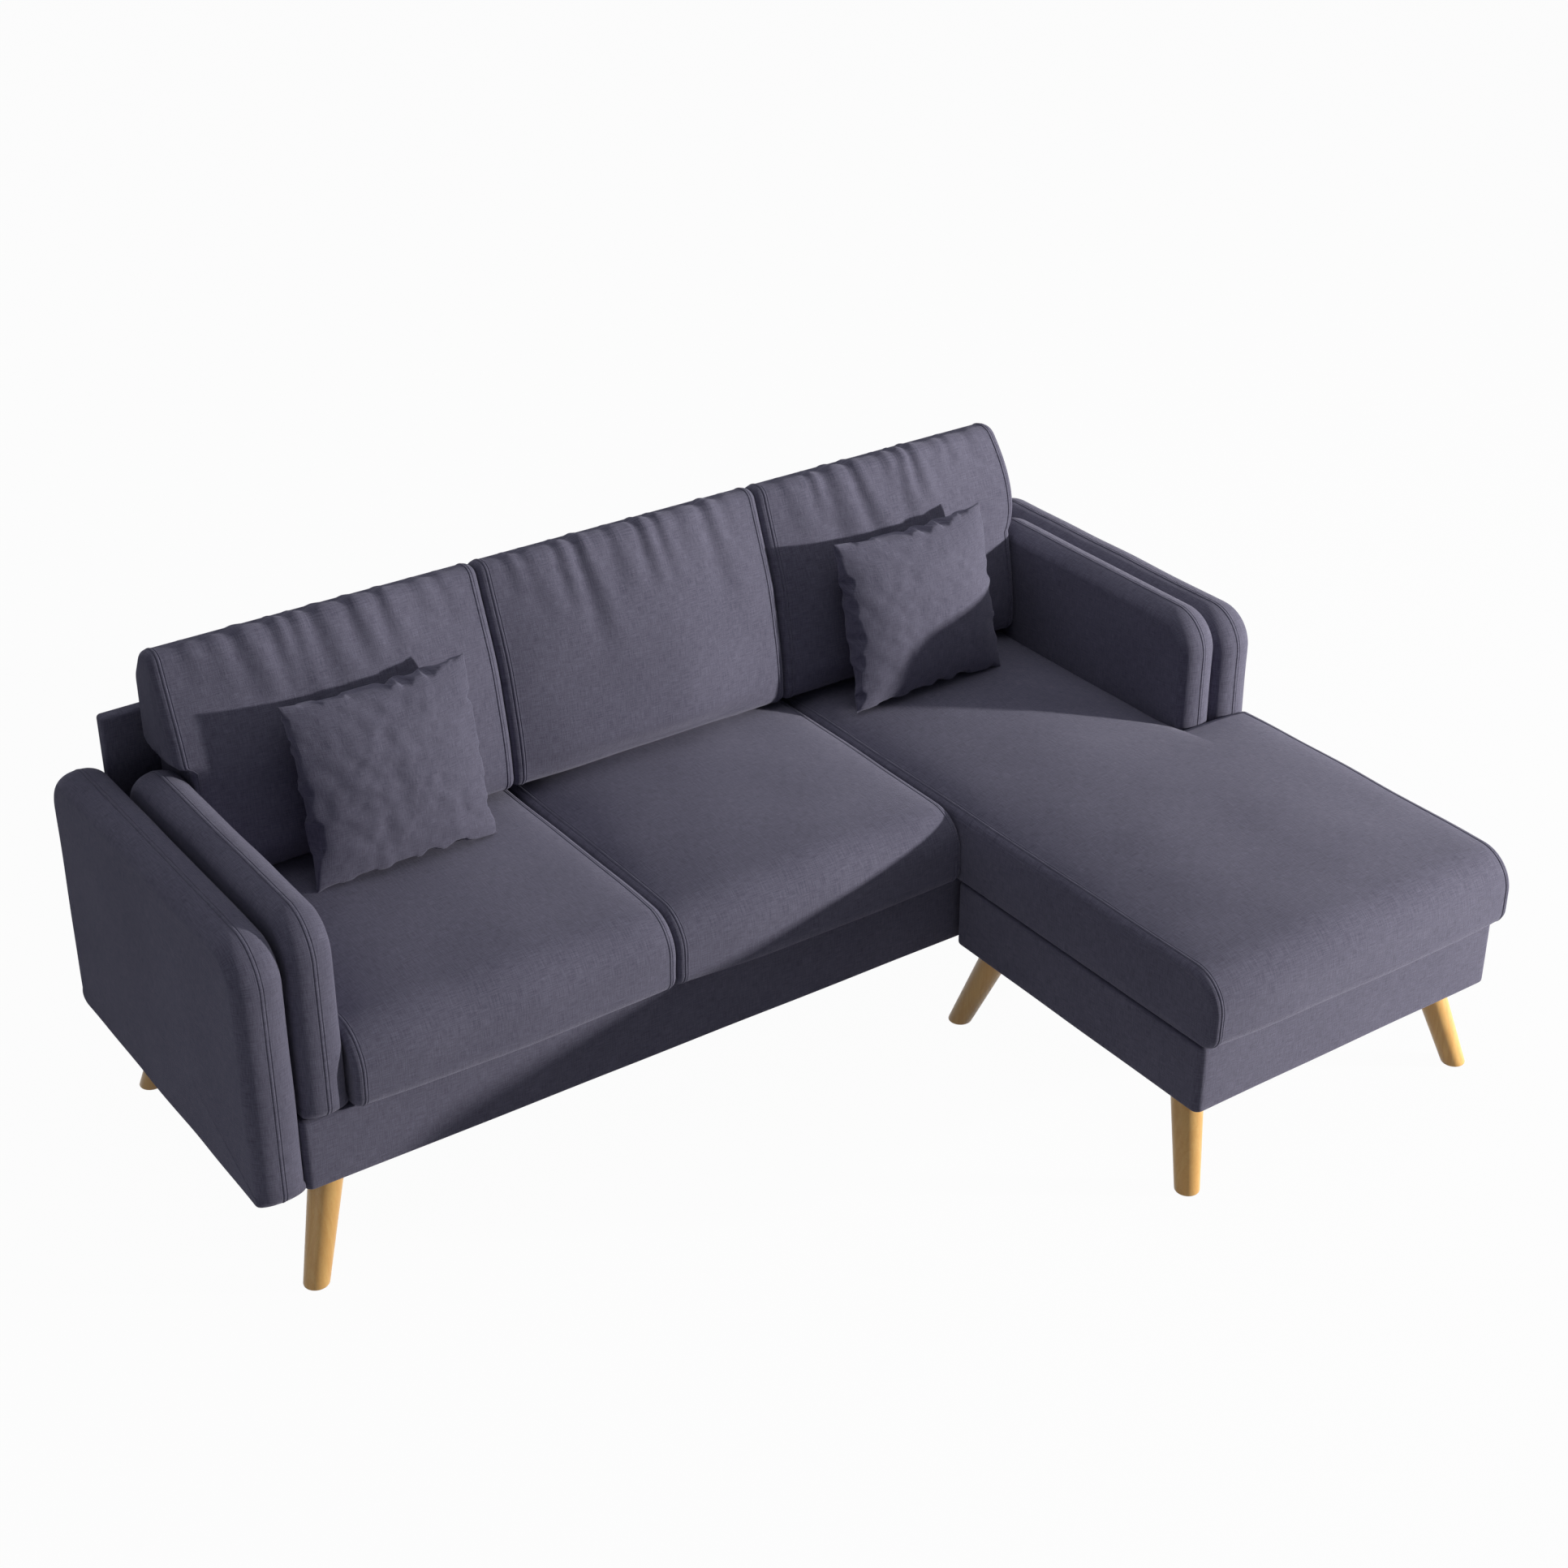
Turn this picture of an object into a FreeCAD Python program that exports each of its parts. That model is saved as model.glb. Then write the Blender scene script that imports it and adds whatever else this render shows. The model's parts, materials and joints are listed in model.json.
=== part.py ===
import FreeCAD, Part
import Sketcher
import math
import os
import re
from FreeCAD import Vector

# Sectional sofa with chaise, in millimetres, +Z up, +X to the right seen from the front, +Y to the back.
# The origin is on the floor, under the middle of the whole sofa.

# Driving dimensions, one named cell each
SIZES = {
    # outer arms and the pads that stand beside them
    "sofa_width": 2000, "arm_thickness": 77, "arm_height": 466, "arm_drop": 6,
    "arm_front_proud": 11, "arm_rear_reach": 69, "arm_top_radius": 76, "arm_foot_radius": 40,
    "arm_edge_band": 30, "arm_edge_draw": 26, "board_margin": 50, "board_thickness": 18,
    "pad_gap": 7, "pad_thickness": 76, "pad_height": 355, "pad_rear_inset": 40, "pad_top_radius": 75,
    # base boxes
    "base_depth": 640, "base_height": 123, "base_wall": 10, "base_corner_radius": 14, "base_edge_radius": 8,
    "rail_thickness": 22, "deck_thickness": 8, "dust_thickness": 1, "cross_rail_height": 60,
    "cross_rail_offset": 310, "block_side": 110, "block_height": 60,
    "spring_wire": 3.8, "spring_count": 10, "spring_swing": 24, "spring_bend": 14, "spring_lead": 12,
    "webbing_width": 50, "webbing_thickness": 1.5, "ottoman_webbing_count": 5,
    "ottoman_width": 672, "ottoman_depth": 620, "ottoman_clearance": 1, "ottoman_right_inset": 3,
    # legs and their mounting plates
    "leg_height": 177, "leg_top_radius": 28.5, "leg_foot_radius": 21, "leg_bore_depth": 30,
    "stud_radius": 4, "stud_length": 26, "stud_clearance": 0.2, "plate_side": 58, "plate_thickness": 3,
    "main_leg_inset_x": 52, "main_leg_inset_y": 41, "main_leg_splay_x": 55, "main_leg_splay_y": 42,
    "ottoman_leg_inset_x": 61, "ottoman_leg_inset_front": 87, "ottoman_leg_inset_rear": 58,
    "ottoman_leg_splay_x": 40, "ottoman_leg_splay_y": 62,
    # back panel
    "panel_thickness": 25, "panel_height": 530, "panel_rail_height": 60, "panel_foot_rail_height": 80,
    "panel_post_width": 60, "panel_strap_count": 4, "panel_edge_radius": 5,
    # covers, and the clearance between soft pieces
    "cover_skin": 3, "fit_gap": 0.3,
    # seat cushions and the chaise cushion
    "seat_thickness": 151.7, "seat_nose": 25, "seat_side_gap": 2, "seat_rear_gap": 5, "seat_split_x": -260,
    "chaise_side_reach": 1, "seat_crown": 15, "seat_nose_radius": 64, "seat_nose_fall": 60, "seat_belly_lift": 7,
    "seat_side_draw": 5, "seat_rear_radius": 22, "seat_rear_fall": 16, "seat_rim_radius": 9, "seat_foot_radius": 7,
    "chaise_overhang": 23, "notch_gap": 2, "notch_slope": 0.5,
    # back cushions
    "back_split_x": -272, "back_middle_width": 568, "back_overhang": 24, "back_height": 394,
    "back_foot_thickness": 172, "back_waist_thickness": 150, "back_waist_height": 190, "back_top_thickness": 75,
    "back_crown": 17, "back_rim_radius": 12, "back_foot_radius": 22, "back_foot_draw": 10,
    "back_top_radius": 56, "back_top_draw": 26, "pad_top_gap": 1,
    # throw pillows
    "pillow_width": 340, "pillow_tall": 322, "pillow_thickness": 118, "pillow_lean": 14.7,
    "pillow_side_sag": 9, "pillow_corner_radius": 16, "pillow_fullness": 1.7, "pillow_seam": 6,
    "pillow_skin": 1.5, "left_pillow_x": -537, "right_pillow_x": 549,
    # bolts that join the arms and the back panel to the base
    "bolt_radius": 4, "bolt_head_radius": 8, "bolt_head_thickness": 5, "bolt_bite": 12, "bolt_clearance": 0.25,
    "bolt_height": 60, "arm_bolt_inset": 170, "panel_bolt_spread": 600,
}

# Places that follow from the driving dimensions
PLACES = {
    "ottoman_gap": "arm_front_proud + ottoman_clearance",
    "chaise_reach": "ottoman_gap + ottoman_depth + chaise_overhang",
    "front_y": "(chaise_reach - base_depth - arm_rear_reach) / 2",
    "rear_y": "front_y + base_depth",
    "base_low": "leg_height",
    "base_top": "leg_height + base_height",
    "inner_x": "sofa_width / 2 - arm_thickness",
    "arm_low": "base_low - arm_drop",
    "arm_top": "arm_low + arm_height",
    "arm_front": "front_y - arm_front_proud",
    "arm_rear": "rear_y + arm_rear_reach",
    "pad_outer_x": "inner_x - pad_gap",
    "pad_inner_x": "pad_outer_x - pad_thickness",
    "pad_rear": "rear_y - pad_rear_inset",
    "pad_top": "base_top + pad_height",
    "seat_end_x": "pad_inner_x - seat_side_gap",
    "ottoman_right": "sofa_width / 2 - ottoman_right_inset",
    "ottoman_left": "ottoman_right - ottoman_width",
    "ottoman_rear": "front_y - ottoman_gap",
    "ottoman_front": "ottoman_rear - ottoman_depth",
    "chaise_left": "ottoman_left - chaise_side_reach",
    "seat_low": "base_top + fit_gap",
    "seat_top": "seat_low + seat_thickness",
    "back_low": "seat_top + fit_gap",
    "back_top": "back_low + back_height",
    "back_rear_y": "rear_y - seat_rear_gap",
    "panel_top": "base_low + panel_height",
    "rail_low": "base_low + plate_thickness",
    "rail_height": "base_height - plate_thickness - deck_thickness",
}

doc = FreeCAD.newDocument("sectional_sofa")
sheet = doc.addObject("Spreadsheet::Sheet", "sizes")
for row, (name, number) in enumerate(SIZES.items(), start=1):
    sheet.set("A%d" % row, name)
    sheet.set("B%d" % row, str(number))
    sheet.setAlias("B%d" % row, name)
doc.recompute()


def prefixed(text):
    """Give each size and place in an expression the name of the object that holds it."""
    def holder(match):
        word = match.group(0)
        if word in SIZES:
            return "sizes." + word
        return "places." + word if word in PLACES else word
    return re.sub(r"[a-z][a-z_]*", holder, text)


places = doc.addObject("App::VarSet", "places")
for name in PLACES:
    places.addProperty("App::PropertyFloat", name)
for name, text in PLACES.items():
    places.setExpression(name, prefixed(text))
doc.recompute()


def bind(obj, prop, text):
    """Tie one property of an object to the sizes."""
    obj.setExpression(prop, prefixed(str(text)))


class Values:
    """The same sizes and places as plain numbers, for shapes that are worked out in code."""

    def __getattr__(self, name):
        return float(sheet.get(name)) if name in SIZES else getattr(places, name)


val = Values()
pieces = []


def keep(obj, label):
    """Name a finished sub-part and list it for export."""
    obj.Label = label
    pieces.append(obj)
    return obj


# Helpers for plain pieces

def box(name, corner, size):
    """A box bound to the sizes, from its lowest corner and its three lengths."""
    obj = doc.addObject("Part::Box", name)
    for prop, text in zip(("Length", "Width", "Height"), size):
        bind(obj, prop, text)
    for axis, text in zip("xyz", corner):
        bind(obj, "Placement.Base." + axis, text)
    return obj


def rod(name, axis, start, radius, length):
    """A cylinder along +X, +Y or +Z, bound to the sizes."""
    obj = doc.addObject("Part::Cylinder", name)
    bind(obj, "Radius", radius)
    bind(obj, "Height", length)
    turn = {"x": (Vector(0, 1, 0), 90), "y": (Vector(1, 0, 0), -90), "z": (Vector(0, 0, 1), 0)}[axis]
    obj.Placement.Rotation = FreeCAD.Rotation(*turn)
    for letter, text in zip("xyz", start):
        bind(obj, "Placement.Base." + letter, text)
    return obj


def group(name, members):
    """Identical separate solids that share one node."""
    obj = doc.addObject("Part::Compound", name)
    obj.Links = members
    return obj


def cut(name, base, tool):
    """One object less another."""
    obj = doc.addObject("Part::Cut", name)
    obj.Base, obj.Tool = base, tool
    return obj


def fuse(name, members):
    """Several overlapping objects as one solid."""
    obj = doc.addObject("Part::MultiFuse", name)
    obj.Shapes = members
    return obj


# Helpers for PartDesign bodies

def body_at(name, corner):
    """A body whose origin is bound to the sizes."""
    body = doc.addObject("PartDesign::Body", name)
    for letter, text in zip("xyz", corner):
        bind(body, "Placement.Base." + letter, text)
    return body


def sketch_on(body, name, offset=("0", "0", "0")):
    """A sketch parallel to the body's own XY plane."""
    sketch = body.newObject("Sketcher::SketchObject", name)
    plane = [item for item in body.Origin.OriginFeatures if item.Role == "XY_Plane"][0]
    sketch.AttachmentSupport = [(plane, "")]
    sketch.MapMode = "FlatFace"
    for letter, text in zip("xyz", offset):
        bind(sketch, "AttachmentOffset.Base." + letter, text)
    return sketch


def circle(body, name, radius, offset=("0", "0", "0")):
    """A sketch with one circle about its own origin."""
    sketch = sketch_on(body, name, offset)
    ring = sketch.addGeometry(Part.Circle(Vector(), Vector(0, 0, 1), 10), False)
    sketch.addConstraint(Sketcher.Constraint("Coincident", ring, 3, -1, 1))
    index = sketch.addConstraint(Sketcher.Constraint("Radius", ring, 10))
    bind(sketch, "Constraints[%d]" % index, radius)
    return sketch


def rectangle(body, name, width, depth, offset=("0", "0", "0")):
    """A sketch with one rectangle, its first corner on the sketch's origin."""
    sketch = sketch_on(body, name, offset)
    corners = [Vector(0, 0, 0), Vector(10, 0, 0), Vector(10, 10, 0), Vector(0, 10, 0)]
    for index in range(4):
        sketch.addGeometry(Part.LineSegment(corners[index], corners[(index + 1) % 4]), False)
    for index in range(4):
        sketch.addConstraint(Sketcher.Constraint("Coincident", index, 2, (index + 1) % 4, 1))
        sketch.addConstraint(Sketcher.Constraint(("Horizontal", "Vertical")[index % 2], index))
    sketch.addConstraint(Sketcher.Constraint("Coincident", 0, 1, -1, 1))
    across = sketch.addConstraint(Sketcher.Constraint("DistanceX", 0, 1, 0, 2, 10))
    along = sketch.addConstraint(Sketcher.Constraint("DistanceY", 1, 1, 1, 2, 10))
    bind(sketch, "Constraints[%d]" % across, width)
    bind(sketch, "Constraints[%d]" % along, depth)
    return sketch


def pad(body, name, sketch, length):
    """Raise a sketch into the body along +Z."""
    feature = body.newObject("PartDesign::Pad", name)
    feature.Profile = sketch
    bind(feature, "Length", length)
    return feature


# Bolts that join the arms and the back panel to the base, and the holes that they pass through

def bolt_runs():
    """Name, axis, side and start of each bolt, its start being the inner face of the rail that it clamps."""
    height = "base_low + bolt_height"
    for side, sign in (("left", -1), ("right", 1)):
        for end, y in (("front", "front_y + arm_bolt_inset"), ("rear", "rear_y - arm_bolt_inset")):
            yield side + "_" + end, "x", sign, ("%d * (inner_x - base_wall - rail_thickness)" % sign, y, height)
    for place in (-1, 0, 1):
        start = ("%d * panel_bolt_spread" % place, "rear_y - base_wall - rail_thickness", height)
        yield "panel_%d" % (place + 2), "y", 1, start


def along(start, axis, distance):
    """Move a place by an expression along one axis."""
    return tuple("%s + (%s)" % (text, distance) if letter == axis else text
                 for letter, text in zip("xyz", start))


bolts, bores = [], []
for name, axis, sign, start in bolt_runs():
    reach = "(rail_thickness + base_wall + cover_skin + bolt_bite)"
    if axis == "y":
        reach = "(rail_thickness + base_wall + cover_skin + webbing_thickness + bolt_bite)"
    shank_start = start if sign > 0 else along(start, axis, "0 - " + reach)
    head_start = along(start, axis, "0 - bolt_head_thickness") if sign > 0 else start
    shank = rod(name + "_shank", axis, shank_start, "bolt_radius", reach)
    head = rod(name + "_head", axis, head_start, "bolt_head_radius", "bolt_head_thickness")
    bolts.append(fuse(name + "_bolt", [shank, head]))
    bores.append(rod(name + "_bore", axis, shank_start, "bolt_radius + bolt_clearance", reach))
keep(group("bolt_group", bolts), "assembly_bolts")
bolt_holes = fuse("bolt_holes", bores)


def drilled(obj, label):
    """A piece with the bolt holes cut through it."""
    return keep(cut(obj.Name + "_drilled", obj, bolt_holes), label)


# Base boxes

def base_cover(name, corner, width, depth):
    """The upholstered wall of a base box: a ring with rounded corners and soft lower edges."""
    body = body_at(name, corner)
    block = pad(body, name + "_block", rectangle(body, name + "_outline", width, depth), "base_height")
    doc.recompute()
    upright = [index for index, edge in enumerate(block.Shape.Edges, start=1)
               if abs(edge.Vertexes[0].Z - edge.Vertexes[-1].Z) > 1]
    corners = body.newObject("PartDesign::Fillet", name + "_corners")
    corners.Base = (block, ["Edge%d" % index for index in upright])
    bind(corners, "Radius", "base_corner_radius")
    doc.recompute()
    lowest = [index for index, edge in enumerate(corners.Shape.Edges, start=1)
              if max(vertex.Z for vertex in edge.Vertexes) < 1e-6]
    hem = body.newObject("PartDesign::Fillet", name + "_hem")
    hem.Base = (corners, ["Edge%d" % index for index in lowest])
    bind(hem, "Radius", "base_edge_radius")
    doc.recompute()
    opening = rectangle(body, name + "_opening", width + " - 2 * base_wall", depth + " - 2 * base_wall",
                        ("base_wall", "base_wall", "0"))
    pocket = body.newObject("PartDesign::Pocket", name + "_hollow")
    pocket.Profile = opening
    pocket.Type = "ThroughAll"
    pocket.Midplane = True
    doc.recompute()
    if pocket.Shape.Volume >= hem.Shape.Volume:
        raise RuntimeError(name + ": the hollow cuts nothing")
    return body


def leg(label, corner, lean_x, lean_y):
    """A tapered round leg. Its origin is the middle of its foot on the floor; its top leans by lean_x, lean_y."""
    body = body_at(label + "_body", corner)
    foot = circle(body, label + "_foot", "leg_foot_radius")
    top = circle(body, label + "_top", "leg_top_radius", (lean_x, lean_y, "leg_height"))
    shaft = body.newObject("PartDesign::AdditiveLoft", label + "_shaft")
    shaft.Profile, shaft.Sections, shaft.Ruled = foot, [top], True
    doc.recompute()
    mouth = circle(body, label + "_mouth", "stud_radius + stud_clearance", (lean_x, lean_y, "leg_height"))
    bore = body.newObject("PartDesign::Pocket", label + "_bore")
    bore.Profile = mouth
    bind(bore, "Length", "leg_bore_depth")
    doc.recompute()
    if bore.Shape.Volume >= shaft.Shape.Volume:
        raise RuntimeError(label + ": the bore cuts nothing")
    keep(body, label)


def corner_block(name, corner, turn):
    """A triangular block glued into a corner of the rails."""
    body = body_at(name, corner)
    body.Placement.Rotation = FreeCAD.Rotation(Vector(0, 0, 1), turn)
    sketch = sketch_on(body, name + "_outline")
    points = [Vector(0, 0, 0), Vector(10, 0, 0), Vector(0, 10, 0)]
    for index in range(3):
        sketch.addGeometry(Part.LineSegment(points[index], points[(index + 1) % 3]), False)
    for index in range(3):
        sketch.addConstraint(Sketcher.Constraint("Coincident", index, 2, (index + 1) % 3, 1))
    sketch.addConstraint(Sketcher.Constraint("Coincident", 0, 1, -1, 1))
    sketch.addConstraint(Sketcher.Constraint("Horizontal", 0))
    sketch.addConstraint(Sketcher.Constraint("Vertical", 2))
    for edge, kind, first, second in ((0, "DistanceX", 1, 2), (2, "DistanceY", 2, 1)):
        index = sketch.addConstraint(Sketcher.Constraint(kind, edge, first, edge, second, 10))
        bind(sketch, "Constraints[%d]" % index, "block_side")
    pad(body, name + "_block", sketch, "block_height")
    return body


def base_unit(unit, low, high, legs):
    """The frame, deck, covers, plates and legs of one base box between two corners.

    low and high are (x, y) expressions; legs lists (place, x, y, lean_x, lean_y) with the top's middle at x, y.
    """
    width = "(%s - (%s))" % (high[0], low[0])
    depth = "(%s - (%s))" % (high[1], low[1])
    inner_low = tuple("%s + base_wall" % text for text in low)
    inner_high = tuple("%s - base_wall" % text for text in high)
    wide, deep = width + " - 2 * base_wall", depth + " - 2 * base_wall"
    cover = base_cover(unit + "_cover_body", (low[0], low[1], "base_low"), width, depth)

    # four rails, the front and rear ones running the whole width
    front = box(unit + "_front", (inner_low[0], inner_low[1], "rail_low"), (wide, "rail_thickness", "rail_height"))
    rear = box(unit + "_rear", (inner_low[0], inner_high[1] + " - rail_thickness", "rail_low"),
               (wide, "rail_thickness", "rail_height"))
    ends = []
    for side, x in (("left", inner_low[0]), ("right", inner_high[0] + " - rail_thickness")):
        ends.append(box(unit + "_" + side, (x, inner_low[1] + " + rail_thickness", "rail_low"),
                        ("rail_thickness", deep + " - 2 * rail_thickness", "rail_height")))
    end_rails = group(unit + "_ends", ends)
    keep(front, unit + "_front_rail")
    if unit == "main":
        drilled(rear, "main_rear_rail")
        drilled(end_rails, "main_end_rails")
        drilled(cover, "main_base_cover")
    else:
        keep(rear, unit + "_rear_rail")
        keep(end_rails, unit + "_side_rails")
        keep(cover, unit + "_base_cover")

    # corner blocks against the rails
    x_low, x_high = inner_low[0] + " + rail_thickness", inner_high[0] + " - rail_thickness"
    y_low, y_high = inner_low[1] + " + rail_thickness", inner_high[1] + " - rail_thickness"
    spots = ((x_low, y_low, 0), (x_high, y_low, 90), (x_high, y_high, 180), (x_low, y_high, 270))
    blocks = [corner_block("%s_block_%d" % (unit, index), (x, y, "rail_low"), turn)
              for index, (x, y, turn) in enumerate(spots, start=1)]
    keep(group(unit + "_blocks", blocks), unit + "_corner_blocks")

    # mounting plates with studs, and the dust cover that is cut out round them
    plates, windows = [], []
    for place, x, y, lean_x, lean_y in legs:
        corner = ("%s - plate_side / 2" % x, "%s - plate_side / 2" % y, "base_low")
        sheet_metal = box("%s_%s_plate" % (unit, place), corner, ("plate_side", "plate_side", "plate_thickness"))
        stud = rod("%s_%s_stud" % (unit, place), "z", (x, y, "base_low - stud_length"), "stud_radius",
                   "stud_length + plate_thickness")
        plates.append(fuse("%s_%s_mount" % (unit, place), [sheet_metal, stud]))
        windows.append(box("%s_%s_window" % (unit, place),
                           ("%s - plate_side / 2 - fit_gap" % x, "%s - plate_side / 2 - fit_gap" % y, "base_low"),
                           ("plate_side + 2 * fit_gap", "plate_side + 2 * fit_gap", "plate_thickness")))
        foot = ("%s - (%s)" % (x, lean_x), "%s - (%s)" % (y, lean_y), "0")
        leg("%s_%s_leg" % (unit, place), foot, lean_x, lean_y)
    keep(group(unit + "_plates", plates), unit + "_leg_plates")
    cloth = box(unit + "_cloth", (inner_low[0], inner_low[1], "rail_low - dust_thickness"),
                (wide, deep, "dust_thickness"))
    keep(cut(unit + "_dust", cloth, fuse(unit + "_windows", windows)), unit + "_dust_cover")
    keep(box(unit + "_deck", (inner_low[0], inner_low[1], "base_top - deck_thickness"),
             (wide, deep, "deck_thickness")), unit + "_deck_pad")


def four_legs(low, high, inset_x, inset_front, inset_rear, splay_x, splay_y):
    """Places and leans of four legs that splay outwards towards their corners."""
    for side, x, lean_x in (("left", "%s + %s" % (low[0], inset_x), splay_x),
                            ("right", "%s - %s" % (high[0], inset_x), "0 - " + splay_x)):
        yield "front_" + side, x, "%s + %s" % (low[1], inset_front), lean_x, splay_y
        yield "rear_" + side, x, "%s - %s" % (high[1], inset_rear), lean_x, "0 - " + splay_y


main_low, main_high = ("0 - inner_x", "front_y"), ("inner_x", "rear_y")
base_unit("main", main_low, main_high,
          list(four_legs(main_low, main_high, "main_leg_inset_x", "main_leg_inset_y", "main_leg_inset_y",
                         "main_leg_splay_x", "main_leg_splay_y")))
ottoman_low, ottoman_high = ("ottoman_left", "ottoman_front"), ("ottoman_right", "ottoman_rear")
base_unit("ottoman", ottoman_low, ottoman_high,
          list(four_legs(ottoman_low, ottoman_high, "ottoman_leg_inset_x", "ottoman_leg_inset_front",
                         "ottoman_leg_inset_rear", "ottoman_leg_splay_x", "ottoman_leg_splay_y")))

# cross rails of the main base, between its front and rear rails
rail_run = "base_depth - 2 * base_wall - 2 * rail_thickness"
cross_rails = [box("cross_%d" % index,
                   ("%d * cross_rail_offset - rail_thickness / 2" % sign,
                    "front_y + base_wall + rail_thickness", "rail_low"),
                   ("rail_thickness", rail_run, "cross_rail_height"))
               for index, sign in ((1, -1), (2, 1))]
keep(group("cross_rail_pair", cross_rails), "main_cross_rails")


class Path:
    """A level path of straight runs and tangent turns, starting along +Y."""

    def __init__(self, start):
        self.point, self.heading, self.edges = start, math.pi / 2, []

    def run(self, length):
        """Go straight on."""
        end = self.point + Vector(math.cos(self.heading), math.sin(self.heading), 0) * length
        self.edges.append(Part.LineSegment(self.point, end).toShape())
        self.point = end

    def turn(self, radius, degrees):
        """Turn to the left, or to the right for a negative angle."""
        out = self.heading - math.copysign(math.pi / 2, degrees)
        centre = self.point - Vector(math.cos(out), math.sin(out), 0) * radius
        half = math.radians(degrees) / 2
        middle, end = (centre + Vector(math.cos(out + turned), math.sin(out + turned), 0) * radius
                       for turned in (half, 2 * half))
        self.edges.append(Part.Arc(self.point, middle, end).toShape())
        self.point, self.heading = end, self.heading + 2 * half


def feature(name, shape):
    """A shape that is worked out in code, as an object of the document."""
    obj = doc.addObject("Part::Feature", name)
    obj.Shape = shape
    return obj


def seat_springs():
    """Sinuous springs between the front and rear rails, their wire just under the deck pad."""
    wire = val.spring_wire / 2
    start = val.front_y + val.base_wall + val.rail_thickness
    run = val.base_depth - 2 * (val.base_wall + val.rail_thickness)
    span = 2 * (val.inner_x - val.base_wall - val.rail_thickness)
    half_turns = int((run - 2 * val.spring_lead) / (2 * val.spring_bend)) - 1
    lead = (run - 2 * val.spring_bend * (half_turns + 1)) / 2
    cross = val.spring_swing - val.spring_bend
    springs = []
    for number in range(int(val.spring_count)):
        x = (number + 0.5) * span / val.spring_count - span / 2
        path = Path(Vector(x, start, val.base_top - val.deck_thickness - wire))
        path.run(lead)
        path.turn(val.spring_bend, 90)
        path.run(cross)
        side = -1
        for loop in range(half_turns):
            path.turn(val.spring_bend, 180 * side)
            side = -side
            path.run(cross if loop == half_turns - 1 else 2 * val.spring_swing)
        path.turn(val.spring_bend, 90 * side)
        path.run(lead)
        ring = Part.Wire(Part.Circle(path.edges[0].Vertexes[0].Point, Vector(0, 1, 0), wire).toShape())
        springs.append(Part.Wire(path.edges).makePipeShell([ring], True, False))
    return Part.Compound(springs)


keep(feature("springs", seat_springs()), "main_seat_springs")

# webbing of the ottoman, from side rail to side rail under its deck pad
inside_low = "base_wall + rail_thickness"
strap_pitch = "(ottoman_depth - 2 * (base_wall + rail_thickness)) / ottoman_webbing_count"
straps = [box("ottoman_strap_%d" % index,
              ("ottoman_left + " + inside_low,
               "ottoman_front + %s + %s * %s - webbing_width / 2" % (inside_low, index + 0.5, strap_pitch),
               "base_top - deck_thickness - webbing_thickness"),
              ("ottoman_width - 2 * (%s)" % inside_low, "webbing_width", "webbing_thickness"))
          for index in range(int(val.ottoman_webbing_count))]
keep(group("ottoman_straps", straps), "ottoman_webbing")

# Back panel: a thin padded frame between the outer arms, bolted to the rear of the base
frame_y = "rear_y + cover_skin + webbing_thickness"
frame_depth = "panel_thickness - 2 * cover_skin - webbing_thickness"
frame_low, frame_high = "base_low + cover_skin", "panel_top - cover_skin"
frame_left, frame_width = "0 - inner_x + cover_skin", "2 * (inner_x - cover_skin)"
keep(box("panel_top_bar", (frame_left, frame_y, frame_high + " - panel_rail_height"),
         (frame_width, frame_depth, "panel_rail_height")), "back_top_rail")
drilled(box("panel_foot_bar", (frame_left, frame_y, frame_low), (frame_width, frame_depth, "panel_foot_rail_height")),
        "back_bottom_rail")
post_height = "panel_height - 2 * cover_skin - panel_rail_height - panel_foot_rail_height"
posts = [box("panel_post_%d" % index,
             ("%d * (inner_x - cover_skin - panel_post_width / 2) - panel_post_width / 2" % (index - 2), frame_y,
              frame_low + " + panel_foot_rail_height"),
             ("panel_post_width", frame_depth, post_height))
         for index in (1, 2, 3)]
keep(group("panel_posts", posts), "back_posts")
bands = [box("panel_strap_%d" % index,
             ("%s * inner_x / panel_strap_count - webbing_width / 2" % (2 * index + 1 - val.panel_strap_count),
              "rear_y + cover_skin", frame_low),
             ("webbing_width", "webbing_thickness", "panel_height - 2 * cover_skin"))
         for index in range(int(val.panel_strap_count))]
drilled(group("panel_straps", bands), "back_webbing")
panel = body_at("panel_body", ("0 - inner_x", "rear_y", "base_low"))
panel_block = pad(panel, "panel_block", rectangle(panel, "panel_outline", "2 * inner_x", "panel_thickness"),
                  "panel_height")
doc.recompute()
rear_edges = [index for index, edge in enumerate(panel_block.Shape.Edges, start=1)
              if min(vertex.Y for vertex in edge.Vertexes) > val.panel_thickness / 2]
panel_round = panel.newObject("PartDesign::Fillet", "panel_round")
panel_round.Base = (panel_block, ["Edge%d" % index for index in rear_edges])
bind(panel_round, "Radius", "panel_edge_radius")
panel_hollow = box("panel_hollow", (frame_left, "rear_y + cover_skin", frame_low),
                   (frame_width, "panel_thickness - 2 * cover_skin", "panel_height - 2 * cover_skin"))
drilled(cut("panel_shell", panel, panel_hollow), "back_cover")


# Soft forms: ruled lofts through rounded outlines

# how many outlines round the end of each kind of form, and how far past a pillow's last one its knife edge lies
ARM_STEPS, FRONT_STEPS, REAR_STEPS, PILLOW_STEPS = 4, 5, 3, 6
PILLOW_EDGE = 0.6
# directions round an outline
SIDES = (Vector(1, 0), Vector(0, 1), Vector(-1, 0), Vector(0, -1))


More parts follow.
